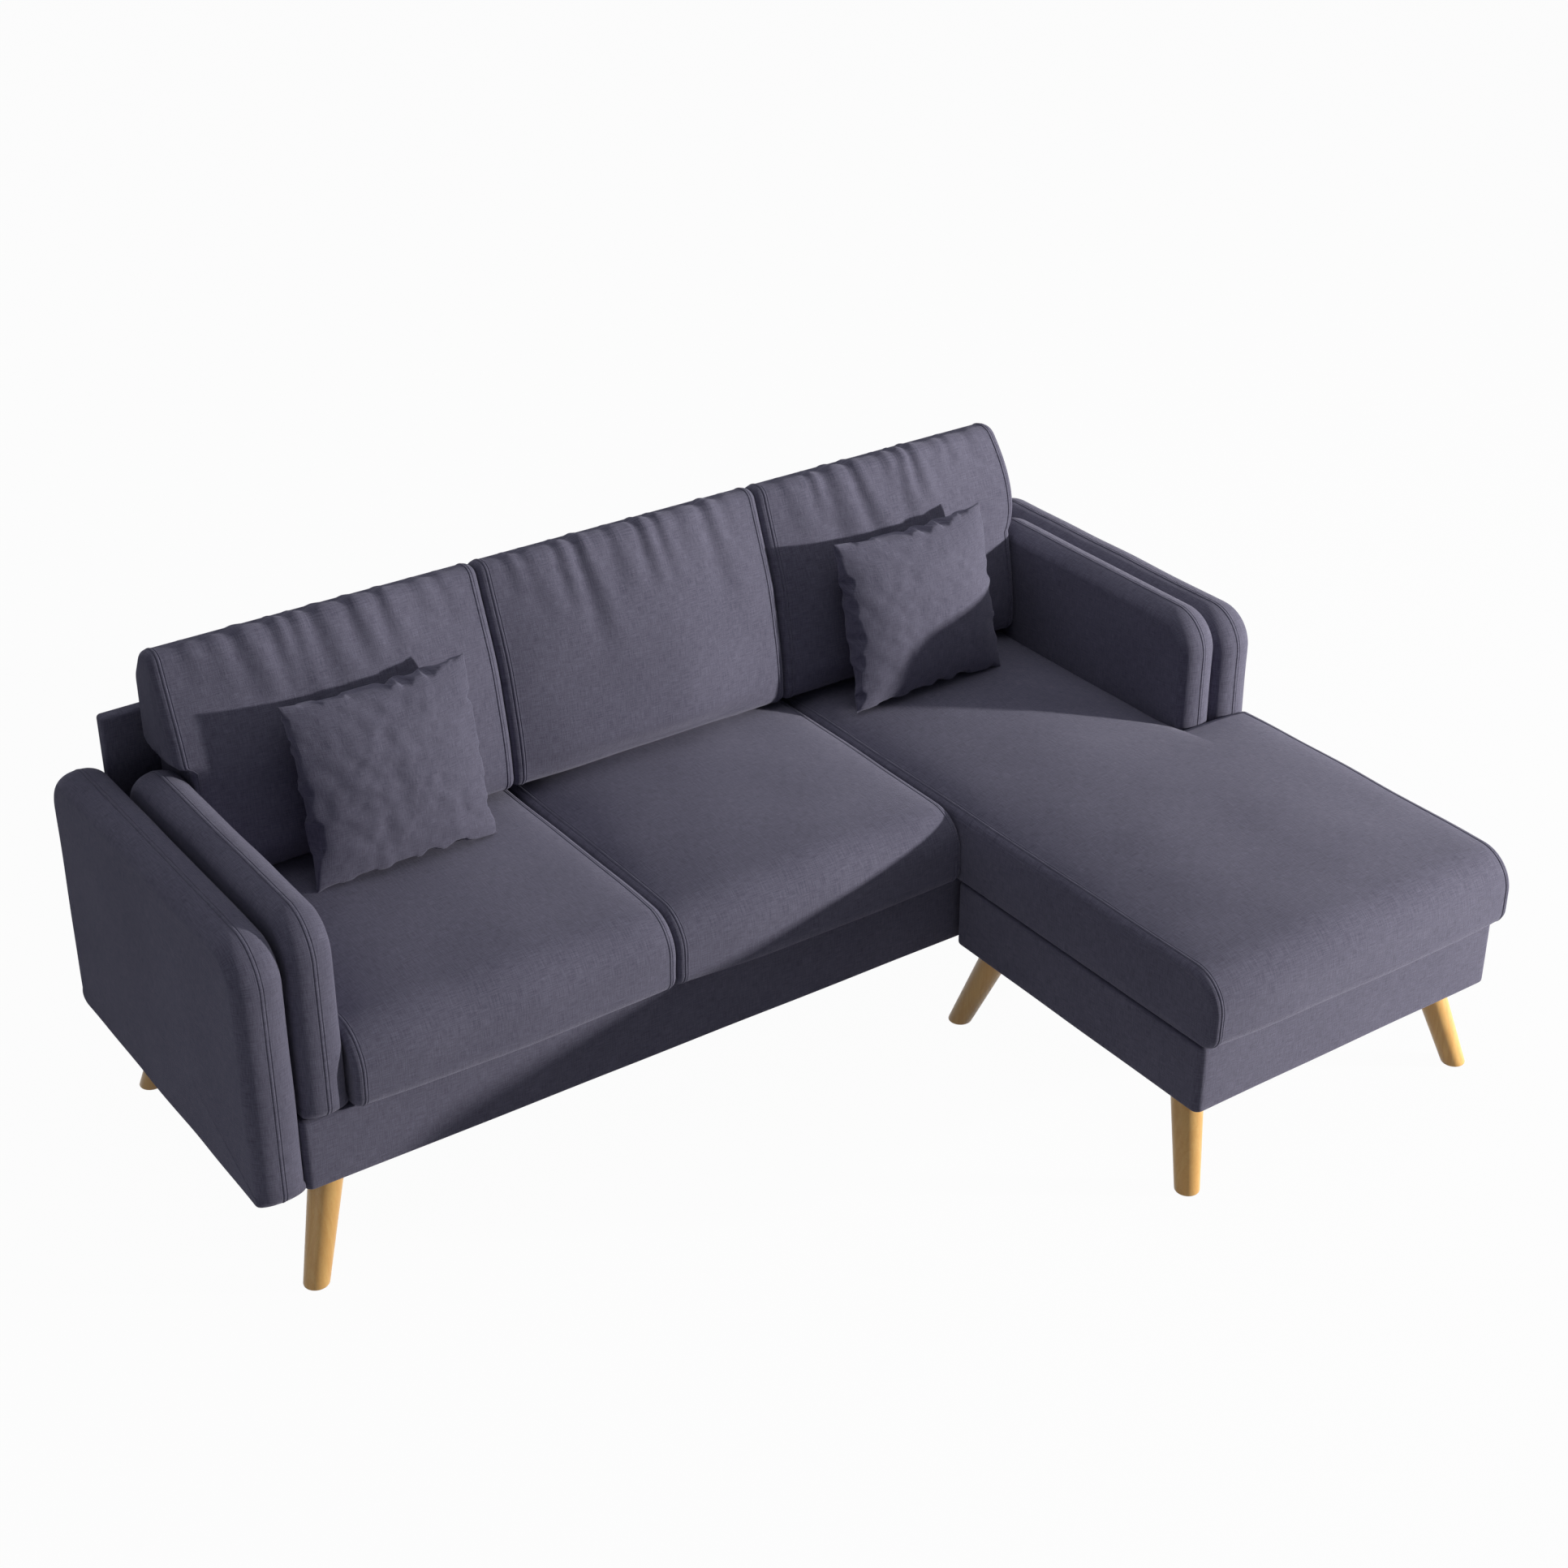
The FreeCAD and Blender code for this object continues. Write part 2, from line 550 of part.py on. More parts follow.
def outline(axis, place, span, rise, radii, swells=(0, 0, 0, 0)):
    """A closed four-sided outline with rounded corners, square to one axis.

    span and rise are its ranges along the other two axes, in the order X, Y, Z. radii belong to its two low and its
    two high corners. swells say how far its low, right, high and left sides bow outwards.
    """
    flat = {"x": lambda p: Vector(place, p.x, p.y), "y": lambda p: Vector(p.x, place, p.y),
            "z": lambda p: Vector(p.x, p.y, place)}[axis]
    corners = [Vector(span[0], rise[0]), Vector(span[1], rise[0]), Vector(span[1], rise[1]),
               Vector(span[0], rise[1])]
    corner_radii = (radii[0], radii[0], radii[1], radii[1])
    edges = []
    for index, corner in enumerate(corners):
        ahead, behind = SIDES[index], SIDES[index - 1]
        radius, following = corner_radii[index], corner_radii[(index + 1) % 4]
        start, finish = corner + ahead * radius, corners[(index + 1) % 4] - ahead * following
        bend = corner + (ahead - behind) * radius * (1 - math.sqrt(0.5))
        edges.append(Part.Arc(flat(corner - behind * radius), flat(bend), flat(start)).toShape())
        if swells[index]:
            middle = (start + finish) / 2 + Vector(ahead.y, -ahead.x) * swells[index]
            edges.append(Part.Arc(flat(start), flat(middle), flat(finish)).toShape())
        else:
            edges.append(Part.LineSegment(flat(start), flat(finish)).toShape())
    return Part.Wire(edges)


def rounding(depth, steps):
    """Steps of a quarter ellipse at the end of a form: distance from the end, and share of the draw that is left."""
    for step in range(steps + 1):
        angle = math.pi / 2 * step / steps
        yield depth * (1 - math.cos(angle)), 1 - math.sin(angle)


def both_ends(start, finish, depth, steps):
    """Places along a form that is rounded alike at both ends, each with its share of the draw."""
    near = [(start + distance, share) for distance, share in rounding(depth, steps)]
    far = [(finish - distance, share) for distance, share in rounding(depth, steps)]
    return near + far[::-1]


def slab(side, inner, outer, front, rear, low, top, top_radius, skin=0.0):
    """An upholstered slab standing on edge, with a rounded rim all round its two faces."""
    wires = []
    for place, share in both_ends(inner + skin, outer - skin, val.arm_edge_band, ARM_STEPS):
        draw = skin + share * val.arm_edge_draw
        wires.append(outline("x", side * place, (front + draw, rear - draw), (low + draw, top - draw),
                             (val.arm_foot_radius - draw, top_radius - draw)))
    return Part.makeLoft(wires, True, True)


for side, sign in (("left", -1), ("right", 1)):
    arm = (sign, val.inner_x, val.sofa_width / 2, val.arm_front, val.arm_rear, val.arm_low, val.arm_top,
           val.arm_top_radius)
    board_x = "inner_x + cover_skin" if sign > 0 else "0 - inner_x - cover_skin - board_thickness"
    board = box(side + "_arm_core", (board_x, "arm_front + board_margin", "arm_low + board_margin"),
                ("board_thickness", "arm_rear - arm_front - 2 * board_margin", "arm_height - 2 * board_margin"))
    lining = feature(side + "_arm_lining", slab(*arm, skin=val.cover_skin))
    drilled(board, side + "_arm_board")
    keep(cut(side + "_arm_stuffing", lining, board), side + "_arm_padding")
    drilled(cut(side + "_arm_skin", feature(side + "_arm_form", slab(*arm)), lining), side + "_arm_cover")
    inner_pad = (sign, val.pad_inner_x, val.pad_outer_x, val.arm_front, val.pad_rear, val.base_top, val.pad_top,
                  val.pad_top_radius)
    pad_lining = feature(side + "_pad_lining", slab(*inner_pad, skin=val.cover_skin))
    keep(pad_lining, side + "_pad_padding")
    keep(cut(side + "_pad_skin", feature(side + "_pad_form", slab(*inner_pad)), pad_lining), side + "_pad_cover")


def seat_form(left, right, nose, skin, wide_right=None):
    """One seat cushion: crowned top, rounded nose, boxed sides. It may widen to the right in front of the arm."""
    rear, low = val.back_rear_y - skin, val.seat_low + skin
    edge = val.seat_top - val.seat_crown - skin
    front_steps = [(nose + skin + distance, share, val.seat_nose_fall)
                   for distance, share in rounding(val.seat_nose_radius, FRONT_STEPS)]
    rear_steps = [(rear - distance, share, val.seat_rear_fall)
                  for distance, share in rounding(val.seat_rear_radius, REAR_STEPS)][::-1]
    notch = val.arm_front - val.notch_gap - skin
    if wide_right is None:
        steps = [(y, share, fall, right) for y, share, fall in front_steps + rear_steps]
    else:
        steps = [(y, share, fall, wide_right) for y, share, fall in front_steps]
        steps += [(notch - val.notch_slope, 0, 0, wide_right), (notch, 0, 0, right)]
        steps += [(y, share, fall, right) for y, share, fall in rear_steps]
    wires = []
    for y, share, fall, right_side in steps:
        wires.append(outline("y", y, (left + skin + share * val.seat_side_draw, right_side - skin
                                      - share * val.seat_side_draw),
                             (low + share * val.seat_belly_lift, edge - share * fall),
                             (val.seat_foot_radius - skin, val.seat_rim_radius - skin),
                             (0, 0, val.seat_crown * (1 - share / 2), 0)))
    return Part.makeLoft(wires, True, True)


def back_depth(z):
    """Thickness of a back cushion at its side edges, at a height: it thins from foot to top."""
    waist = val.back_low + val.back_waist_height
    if z < waist:
        share = (z - val.back_low) / val.back_waist_height
        return val.back_foot_thickness + share * (val.back_waist_thickness - val.back_foot_thickness)
    share = (z - waist) / (val.back_top - waist)
    return val.back_waist_thickness + share * (val.back_top_thickness - val.back_waist_thickness)


def back_form(left, right, skin, high_left=None):
    """One back cushion: crowned front, flat rear, rounded top. It may widen to the left above the arm pad."""
    low, top, rear = val.back_low + skin, val.back_top - skin, val.back_rear_y - skin
    foot = [(low + distance, share, val.back_foot_draw)
            for distance, share in rounding(val.back_foot_radius, REAR_STEPS)]
    head = [(top - distance, share, val.back_top_draw)
            for distance, share in rounding(val.back_top_radius, FRONT_STEPS)][::-1]
    waist = [(val.back_low + val.back_waist_height, 0, 0)]
    if high_left is None:
        steps = [(z, share, draw, left) for z, share, draw in foot + waist + head]
    else:
        ledge = val.pad_top + val.pad_top_gap + skin
        steps = [(z, share, draw, left) for z, share, draw in foot + waist]
        steps += [(ledge, 0, 0, left), (ledge + val.notch_slope, 0, 0, high_left)]
        steps += [(z, share, draw, high_left) for z, share, draw in head]
        steps.sort(key=lambda step: step[0])
    wires = []
    for z, share, draw, left_side in steps:
        front = rear + skin - back_depth(z) + skin
        rim = (val.back_rim_radius - skin) * (1 - share / 2)
        wires.append(outline("z", z, (left_side + skin + share * draw / 2, right - skin - share * draw / 2),
                             (front + share * draw, rear - share * draw),
                             (rim, rim), (val.back_crown * (1 - share / 2), 0, 0, 0)))
    return Part.makeLoft(wires, True, True)


def pillow_form(skin, seam):
    """A throw pillow, standing upright with its lowest corner points at height 0: full middle, knife edges."""
    half_wide, half_tall, half_thick = (val.pillow_width / 2 - seam, val.pillow_tall / 2 - seam,
                                        val.pillow_thickness / 2 - skin)
    wires = []
    for step in range(-PILLOW_STEPS, PILLOW_STEPS + 1):
        level = math.sin(math.pi / 2 * step / (PILLOW_STEPS + PILLOW_EDGE))
        scale = math.sqrt(1 - abs(level) ** val.pillow_fullness)
        wide, tall = half_wide * scale, half_tall * scale
        sag = 0 - val.pillow_side_sag * scale
        wires.append(outline("y", level * half_thick, (-wide, wide),
                             (val.pillow_tall / 2 - tall, val.pillow_tall / 2 + tall),
                             (val.pillow_corner_radius * scale, val.pillow_corner_radius * scale),
                             (sag, sag, sag, sag)))
    return Part.makeLoft(wires, True, True)


def arc_drop(offset, half_chord, rise):
    """How far a crowned surface lies below its crest, at a distance from its middle line."""
    radius = (half_chord ** 2 + rise ** 2) / (2 * rise)
    return radius - math.sqrt(max(radius ** 2 - offset ** 2, 0))


def hollow(outer, inner):
    """A closed skin: the space between two forms, one inside the other."""
    return Part.makeSolid(Part.Compound([outer.Shells[0], inner.Shells[0].reversed()]))


def soft_pair(label, form, names, skin):
    """A cover and the filling inside it."""
    keep(feature(label + "_skin", hollow(form(0), form(skin))), label + "_" + names[0])
    keep(feature(label + "_filling", form(skin + val.fit_gap)), label + "_" + names[1])


gap = val.fit_gap / 2
seats = {"left": (-val.seat_end_x, val.seat_split_x - gap),
         "middle": (val.seat_split_x + gap, val.chaise_left - gap),
         "chaise": (val.chaise_left + gap, val.seat_end_x)}
nose_y = val.front_y - val.seat_nose
soft_pair("seat_left", lambda skin: seat_form(*seats["left"], nose_y, skin), ("cover", "core"), val.cover_skin)
soft_pair("seat_middle", lambda skin: seat_form(*seats["middle"], nose_y, skin), ("cover", "core"), val.cover_skin)
soft_pair("seat_chaise", lambda skin: seat_form(*seats["chaise"], val.ottoman_front - val.chaise_overhang, skin,
                                                val.sofa_width / 2), ("cover", "core"), val.cover_skin)

backs = {"left": (-val.seat_end_x, val.back_split_x - gap),
         "middle": (val.back_split_x + gap, val.back_split_x + val.back_middle_width - gap),
         "right": (val.back_split_x + val.back_middle_width + gap, val.seat_end_x)}
soft_pair("back_left", lambda skin: back_form(*backs["left"], skin, -val.seat_end_x - val.back_overhang),
          ("cushion_cover", "cushion_core"), val.cover_skin)
soft_pair("back_middle", lambda skin: back_form(*backs["middle"], skin), ("cushion_cover", "cushion_core"),
          val.cover_skin)
soft_pair("back_right", lambda skin: back_form(*backs["right"], skin), ("cushion_cover", "cushion_core"),
          val.cover_skin)


def pillow_place(x, seat, back):
    """Where a leaning pillow comes to rest, just clear of the seat under it and the cushion behind it."""
    turn = FreeCAD.Rotation(Vector(1, 0, 0), -val.pillow_lean)
    points = [turn.multVec(point) for point in pillow_form(0, 0).tessellate(1.0)[0]]
    seat_middle, seat_half = sum(seat) / 2, (seat[1] - seat[0]) / 2 - val.seat_rim_radius
    z = max(val.seat_top - arc_drop(x + point.x - seat_middle, seat_half, val.seat_crown) - point.z
            for point in points) + val.fit_gap
    back_middle, back_half = sum(back) / 2, (back[1] - back[0]) / 2 - val.back_rim_radius
    y = min(val.back_rear_y - back_depth(z + point.z) - val.back_crown - point.y
            + arc_drop(x + point.x - back_middle, back_half, val.back_crown)
            for point in points) - val.fit_gap
    return FreeCAD.Placement(Vector(x, y, z), turn)


for side, x, seat, back in (("left", val.left_pillow_x, seats["left"], backs["left"]),
                            ("right", val.right_pillow_x, seats["chaise"], backs["right"])):
    label = "pillow_" + side
    shell = feature(label + "_shell", hollow(pillow_form(0, 0), pillow_form(val.pillow_skin, val.pillow_seam)))
    insert = feature(label + "_filling", pillow_form(val.pillow_skin + val.fit_gap,
                                                     val.pillow_seam + val.fit_gap))
    shell.Placement = insert.Placement = pillow_place(x, seat, back)
    keep(shell, label + "_cover")
    keep(insert, label + "_insert")

# Check the document, then write one file for each sub-part
doc.recompute()
for obj in doc.Objects:
    if {"Invalid", "Error"} & set(obj.State):
        raise RuntimeError("%s could not be computed" % obj.Name)
for obj in pieces:
    if obj.Shape.isNull() or not obj.Shape.isValid() or not obj.Shape.Solids:
        raise RuntimeError("%s has no valid solid" % obj.Label)
os.makedirs("parts", exist_ok=True)
for obj in pieces:
    obj.Shape.exportStep("parts/%s.step" % obj.Label)
    print("%-24s solids %2d  volume %.6g" % (obj.Label, len(obj.Shape.Solids), obj.Shape.Volume))
print("%d sub-parts" % len(pieces))
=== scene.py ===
"""Sectional sofa with chaise: covers, cushions, pillows, seams, legs and studio, in metres."""

import json
import logging
import math
from dataclasses import dataclass, field
from enum import Enum
from typing import Optional

import bmesh
import bpy
import numpy as np
from mathutils import Matrix, Vector, noise


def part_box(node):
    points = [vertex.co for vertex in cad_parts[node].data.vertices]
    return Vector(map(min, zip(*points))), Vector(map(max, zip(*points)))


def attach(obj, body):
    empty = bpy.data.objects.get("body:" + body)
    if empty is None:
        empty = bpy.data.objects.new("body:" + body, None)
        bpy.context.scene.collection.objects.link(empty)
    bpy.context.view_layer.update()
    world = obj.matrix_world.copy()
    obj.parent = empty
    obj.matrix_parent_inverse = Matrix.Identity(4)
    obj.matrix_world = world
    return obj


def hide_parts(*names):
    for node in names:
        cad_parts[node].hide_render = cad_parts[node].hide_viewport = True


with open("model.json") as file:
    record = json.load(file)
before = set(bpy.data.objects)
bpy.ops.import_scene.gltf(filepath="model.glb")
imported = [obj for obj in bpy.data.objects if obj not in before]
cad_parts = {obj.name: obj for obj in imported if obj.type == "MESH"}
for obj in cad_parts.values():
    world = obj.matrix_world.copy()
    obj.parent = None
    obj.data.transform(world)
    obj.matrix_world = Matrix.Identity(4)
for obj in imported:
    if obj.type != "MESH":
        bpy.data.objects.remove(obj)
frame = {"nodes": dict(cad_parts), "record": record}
LOG = logging.getLogger("sofa")
MM = 0.001
STITCH_RISE = 0.25 * MM
RIM_REACH = 40 * MM


class Axis(Enum):
    """The axis of a loft: which of X, Y, Z its place and its outline's two directions go to."""

    X = (0, 1, 2)
    Y = (1, 0, 2)
    Z = (2, 0, 1)


def node_box(node: str) -> tuple[np.ndarray, np.ndarray]:
    """Find where a node of the frame is.

    Args:
        node: Name of the node.

    Returns:
        Its lowest and highest corners in metres.
    """
    low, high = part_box(node)
    return np.array(low), np.array(high)


def new_object(name: str, data: Optional[bpy.types.ID]) -> bpy.types.Object:
    """Make an object and link it to the scene."""
    item = bpy.data.objects.new(name, data)
    bpy.context.scene.collection.objects.link(item)
    return item


def read_points(piece: bpy.types.Object) -> np.ndarray:
    """Give the points of a piece's mesh as rows."""
    return np.array([vertex.co for vertex in piece.data.vertices])


def write_points(piece: bpy.types.Object, points: np.ndarray) -> None:
    """Put rows of points back in a piece's mesh."""
    piece.data.vertices.foreach_set("co", points.astype(np.float32).ravel())


def smooth_step(low: float, high: float, value: np.ndarray) -> np.ndarray:
    """Rise smoothly from 0 at low to 1 at high."""
    share = np.clip((value - low) / (high - low), 0, 1)
    return share * share * (3 - 2 * share)


# Outlines and forms


@dataclass(frozen=True)
class Profile:
    """A closed outline in a plane, anticlockwise: points, outward directions and distance along it."""

    points: np.ndarray
    normals: np.ndarray
    along: np.ndarray
    length: float


def make_profile(points: np.ndarray) -> Profile:
    """Measure a closed outline.

    Args:
        points: Its points in order, anticlockwise.

    Returns:
        The outline with its outward directions and lengths.
    """
    ahead, behind = np.roll(points, -1, axis=0), np.roll(points, 1, axis=0)
    tangent = ahead - behind
    tangent /= np.maximum(np.linalg.norm(tangent, axis=1, keepdims=True), 1e-9)
    steps = np.linalg.norm(ahead - points, axis=1)
    along = np.concatenate([[0], np.cumsum(steps)[:-1]])
    return Profile(points, np.stack([tangent[:, 1], -tangent[:, 0]], axis=1), along, float(steps.sum()))


def rounded_profile(corners: list[tuple[float, float]], radii: list[float], pitch: float,
                    turn: float = 9.0) -> Profile:
    """Round the corners of a polygon and place points along it, closer together where it bends.

    Args:
        corners: The polygon's corners, anticlockwise.
        radii: Radius at each corner.
        pitch: Distance between points on straight runs.
        turn: Largest turn between points on a bend, in degrees.

    Returns:
        The outline.
    """
    dense: list[np.ndarray] = []
    count = len(corners)
    for index in range(count):
        before, here, after = (np.array(corners[(index + step) % count], float) for step in (-1, 0, 1))
        into, out = here - before, after - here
        into, out = into / np.linalg.norm(into), out / np.linalg.norm(out)
        angle = math.acos(float(np.clip(into @ out, -1, 1)))
        reach = radii[index] * math.tan(angle / 2)
        side = np.array([-into[1], into[0]])
        centre = here - into * reach + side * radii[index]
        start = math.atan2(*(here - into * reach - centre)[::-1])
        for step in np.linspace(0, angle, max(2, int(math.degrees(angle) / 2) + 2)):
            dense.append(centre + radii[index] * np.array([math.cos(start + step), math.sin(start + step)]))
    line = np.array(dense)
    ring = np.vstack([line, line[:1]])
    steps = np.diff(ring, axis=0)
    lengths = np.linalg.norm(steps, axis=1)
    heading = np.unwrap(np.arctan2(steps[:, 1], steps[:, 0]))
    bend = np.abs(np.diff(np.append(heading, heading[0] + 2 * math.pi)))
    cost = np.concatenate([[0], np.cumsum(lengths / pitch + np.degrees(bend) / turn)])
    marks = np.linspace(0, cost[-1], int(cost[-1]) + 1)[:-1]
    points = np.stack([np.interp(marks, cost, ring[:, axis]) for axis in (0, 1)], axis=1)
    return make_profile(points)


def rim_section(width: float, band: float, draw: float) -> np.ndarray:
    """Draw the section across a form: rounded rims at both faces and a straight band between them.

    Args:
        width: Whole width across the form.
        band: Width of each rounded rim.
        draw: How far the outline is drawn in at the faces.

    Returns:
        Rows of place from the middle and draw.
    """
    angle = np.linspace(0, math.pi / 2, 25)
    place = -width / 2 + band * (1 - np.cos(angle))
    drawn = draw * (1 - np.sin(angle))
    left = np.stack([place, drawn], axis=1)
    right = left[::-1] * np.array([-1, 1])
    return np.vstack([left, right])


def section_length(section: np.ndarray) -> float:
    """Measure a section from face to face."""
    return float(np.linalg.norm(np.diff(section, axis=0), axis=1).sum())


@dataclass
class Seam:
    """A felled seam with two rows of topstitching: a low ridge between two fine grooves."""

    distance: float
    reach: float = 3.0 * MM
    groove: float = 1.3 * MM
    ridge: float = 0.9 * MM
    width: float = 0.9 * MM
    double: bool = True

    def marks(self) -> np.ndarray:
        """Distances across the seam where a form needs points."""
        near = np.array([0, 0.5, 1, 1.5, 2, 2.5, 3, 3.5, 4, 4.6, 5.5, 7, 9, 12]) * MM * self.reach / (3 * MM)
        return np.concatenate([-near[:0:-1], near]) + self.distance

    def rows(self) -> list[float]:
        """Distances of the rows of stitches."""
        return [self.distance - self.reach, self.distance + self.reach] if self.double else [self.distance]

    def height(self, across: np.ndarray) -> np.ndarray:
        """Height of the cloth at distances across the form."""
        offset = across - self.distance
        rise = self.ridge * np.exp(-(offset / (1.5 * self.reach)) ** 4)
        for row in self.rows():
            rise = rise - self.groove * np.exp(-((across - row) / self.width) ** 2)
        return rise


@dataclass
class Form:
    """A closed form lofted along an axis from one outline, with rims, faces and seams.

    Attributes:
        profile: Outline that is lofted.
        section: Rows of place and draw across the form.
        middle: Place of the section's zero along the axis.
        axis: Axis of the loft.
        seams: Seams that run round the form, each at a distance along the section.
        pitch: Distance between rings on plain cloth.
        crown: Rise of the two end faces.
        face_steps: Rings between the rim and the middle of each face.
        foot_draw: Share of the draw that is left where the outline faces down.
        notch: Place beyond which the outline stops at notch_stop, where the form has a notch.
    """

    profile: Profile
    section: np.ndarray
    middle: float
    axis: Axis = Axis.X
    seams: list[Seam] = field(default_factory=list)
    pitch: float = 9 * MM
    crown: tuple[float, float] = (3 * MM, 3 * MM)
    face_steps: int = 12
    foot_draw: float = 1.0
    notch: Optional[float] = None
    notch_stop: float = 0.0

    def __post_init__(self) -> None:
        """Work out the rings, before any swelling."""
        steps = np.linalg.norm(np.diff(self.section, axis=0), axis=1)
        reach = np.concatenate([[0], np.cumsum(steps)])
        self.width = float(reach[-1])
        marks = list(np.linspace(0, self.width, int(self.width / self.pitch) + 2))
        rim = np.linspace(0, RIM_REACH, 14)
        marks += list(rim) + list(self.width - rim)
        for seam in self.seams:
            marks += list(seam.marks())
        if self.notch is not None:
            jump = float(np.interp(self.notch - self.middle, self.section[:, 0], reach))
            marks += list(jump + np.array([-8, -4, -2, -0.6, 0.6, 2, 4, 8]) * MM)
        across = np.unique(np.round(np.clip(marks, 0, self.width), 5))
        across = across[np.concatenate([[True], np.diff(across) > 0.2 * MM])]
        place = np.interp(across, reach, self.section[:, 0])
        drawn = np.interp(across, reach, self.section[:, 1])
        tangent = np.gradient(np.stack([place, -drawn], axis=1), across, axis=0)
        tangent /= np.linalg.norm(tangent, axis=1, keepdims=True)
        scales = np.cos(np.linspace(0, math.pi / 2, self.face_steps + 1)[1:-1])
        faces = len(scales)
        self.across = np.concatenate([np.zeros(faces), across, np.full(faces, self.width)])
        self.scale = np.concatenate([scales[::-1], np.ones(len(across)), scales])
        rise = 1 - self.scale ** 2
        self.place = np.concatenate([place[0] - self.crown[0] * rise[:faces], place,
                                     place[-1] + self.crown[1] * rise[-faces:]]) + self.middle
        self.draw = np.concatenate([np.full(faces, drawn[0]), drawn, np.full(faces, drawn[-1])])
        self.lean = np.concatenate([np.full(faces, -1.0), -tangent[:, 1], np.full(faces, 1.0)])
        self.upright = np.concatenate([np.zeros(faces), tangent[:, 0], np.zeros(faces)])
        self.lift = np.zeros((len(self.place), len(self.profile.points)))
        self.flat, self.outward = self._outlines()

    def _outlines(self) -> tuple[np.ndarray, np.ndarray]:
        """Lay each ring's outline in its plane.

        Returns:
            Points and outward directions, one row for each ring.
        """
        outlines = {False: self.profile}
        if self.notch is not None:
            cut = self.profile.points.copy()
            beyond = np.flatnonzero(cut[:, 0] > self.notch_stop)
            gaps = np.flatnonzero(np.diff(beyond) > 1)
            if len(gaps):
                beyond = np.roll(beyond, -gaps[0] - 1)
            cut[beyond, 0] = self.notch_stop
            cut[beyond, 1] = np.linspace(cut[beyond[0], 1], cut[beyond[-1], 1], len(beyond))
            outlines[True] = make_profile(cut)
        flat, outward = [], []
        for place, drawn, scale in zip(self.place, self.draw, self.scale):
            beside = self.notch is not None and place > self.notch
            outline = outlines[beside]
            centre = (outline.points.min(axis=0) + outline.points.max(axis=0)) / 2
            down = smooth_step(0.2, 0.9, -outline.normals[:, 1])[:, None]
            spread = outline.normals
            if beside:
                spread = (outline.points - centre) / np.ptp(outline.points, axis=0) * 2
            inset = spread * drawn * (1 - (1 - self.foot_draw) * down)
            flat.append(centre + (outline.points - inset - centre) * scale)
            outward.append(outline.normals)
        return np.array(flat), np.array(outward)

    def swell(self, lift: np.ndarray) -> None:
        """Raise the cloth outwards by a height at each point."""
        self.lift = self.lift + lift

    def sew(self) -> None:
        """Press the seams into the cloth."""
        on_wrap = (self.scale == 1).astype(float)
        for seam in self.seams:
            self.lift = self.lift + (seam.height(self.across) * on_wrap)[:, None]

    def rings(self) -> np.ndarray:
        """Give every point in space, one row for each ring."""
        flat = self.flat + self.outward * (self.upright[:, None] * self.lift)[:, :, None]
        place = self.place[:, None] + self.lean[:, None] * self.lift
        points = np.empty((*place.shape, 3))
        for target, values in zip(self.axis.value, (place, flat[:, :, 0], flat[:, :, 1])):
            points[:, :, target] = values
        return points

    def stitch_paths(self, seams: list[Seam]) -> list[np.ndarray]:
        """Follow the rows of stitches of some seams, a little above the cloth."""
        on_wrap = np.flatnonzero(self.scale == 1)
        distances = [distance for seam in seams for distance in seam.rows()]
        rings = [on_wrap[np.argmin(np.abs(self.across[on_wrap] - distance))] for distance in distances]
        self.lift[rings] += STITCH_RISE
        points = self.rings()
        self.lift[rings] -= STITCH_RISE
        return [points[ring] for ring in rings]

    def build(self, name: str) -> bpy.types.Object:
        """Make the form a mesh with a cloth map in metres.

        Args:
            name: Name of the piece.

        Returns:
            The new object.
        """
        rings = self.rings()
        count, size = rings.shape[:2]
        inner = rings.mean(axis=1)
        vertices = np.vstack([rings.reshape(-1, 3), inner[:1], inner[-1:]])
        along = np.append(self.profile.along, self.profile.length)
        faces: list[tuple[int, ...]] = []
        cloth: list[tuple[float, float]] = []
        for i in range(count - 1):
            on_face = self.scale[i] < 1 or self.scale[i + 1] < 1
            for j in range(size):
                k = (j + 1) % size
                faces.append((i * size + j, i * size + k, (i + 1) * size + k, (i + 1) * size + j))
                if on_face:
                    cloth += [tuple(self.flat[i, j]), tuple(self.flat[i, k]),
                              tuple(self.flat[i + 1, k]), tuple(self.flat[i + 1, j])]
                else:
                    cloth += [(self.across[i], along[j]), (self.across[i], along[j + 1]),
                              (self.across[i + 1], along[j + 1]), (self.across[i + 1], along[j])]
        for ring, centre, turned in ((0, count * size, True), (count - 1, count * size + 1, False)):
            middle = tuple(self.flat[ring].mean(axis=0))
            for j in range(size):
                first, second = ((j + 1) % size, j) if turned else (j, (j + 1) % size)
                faces.append((ring * size + first, ring * size + second, centre))
                cloth += [tuple(self.flat[ring, first]), tuple(self.flat[ring, second]), middle]
        return mesh_piece(name, vertices, faces, cloth)


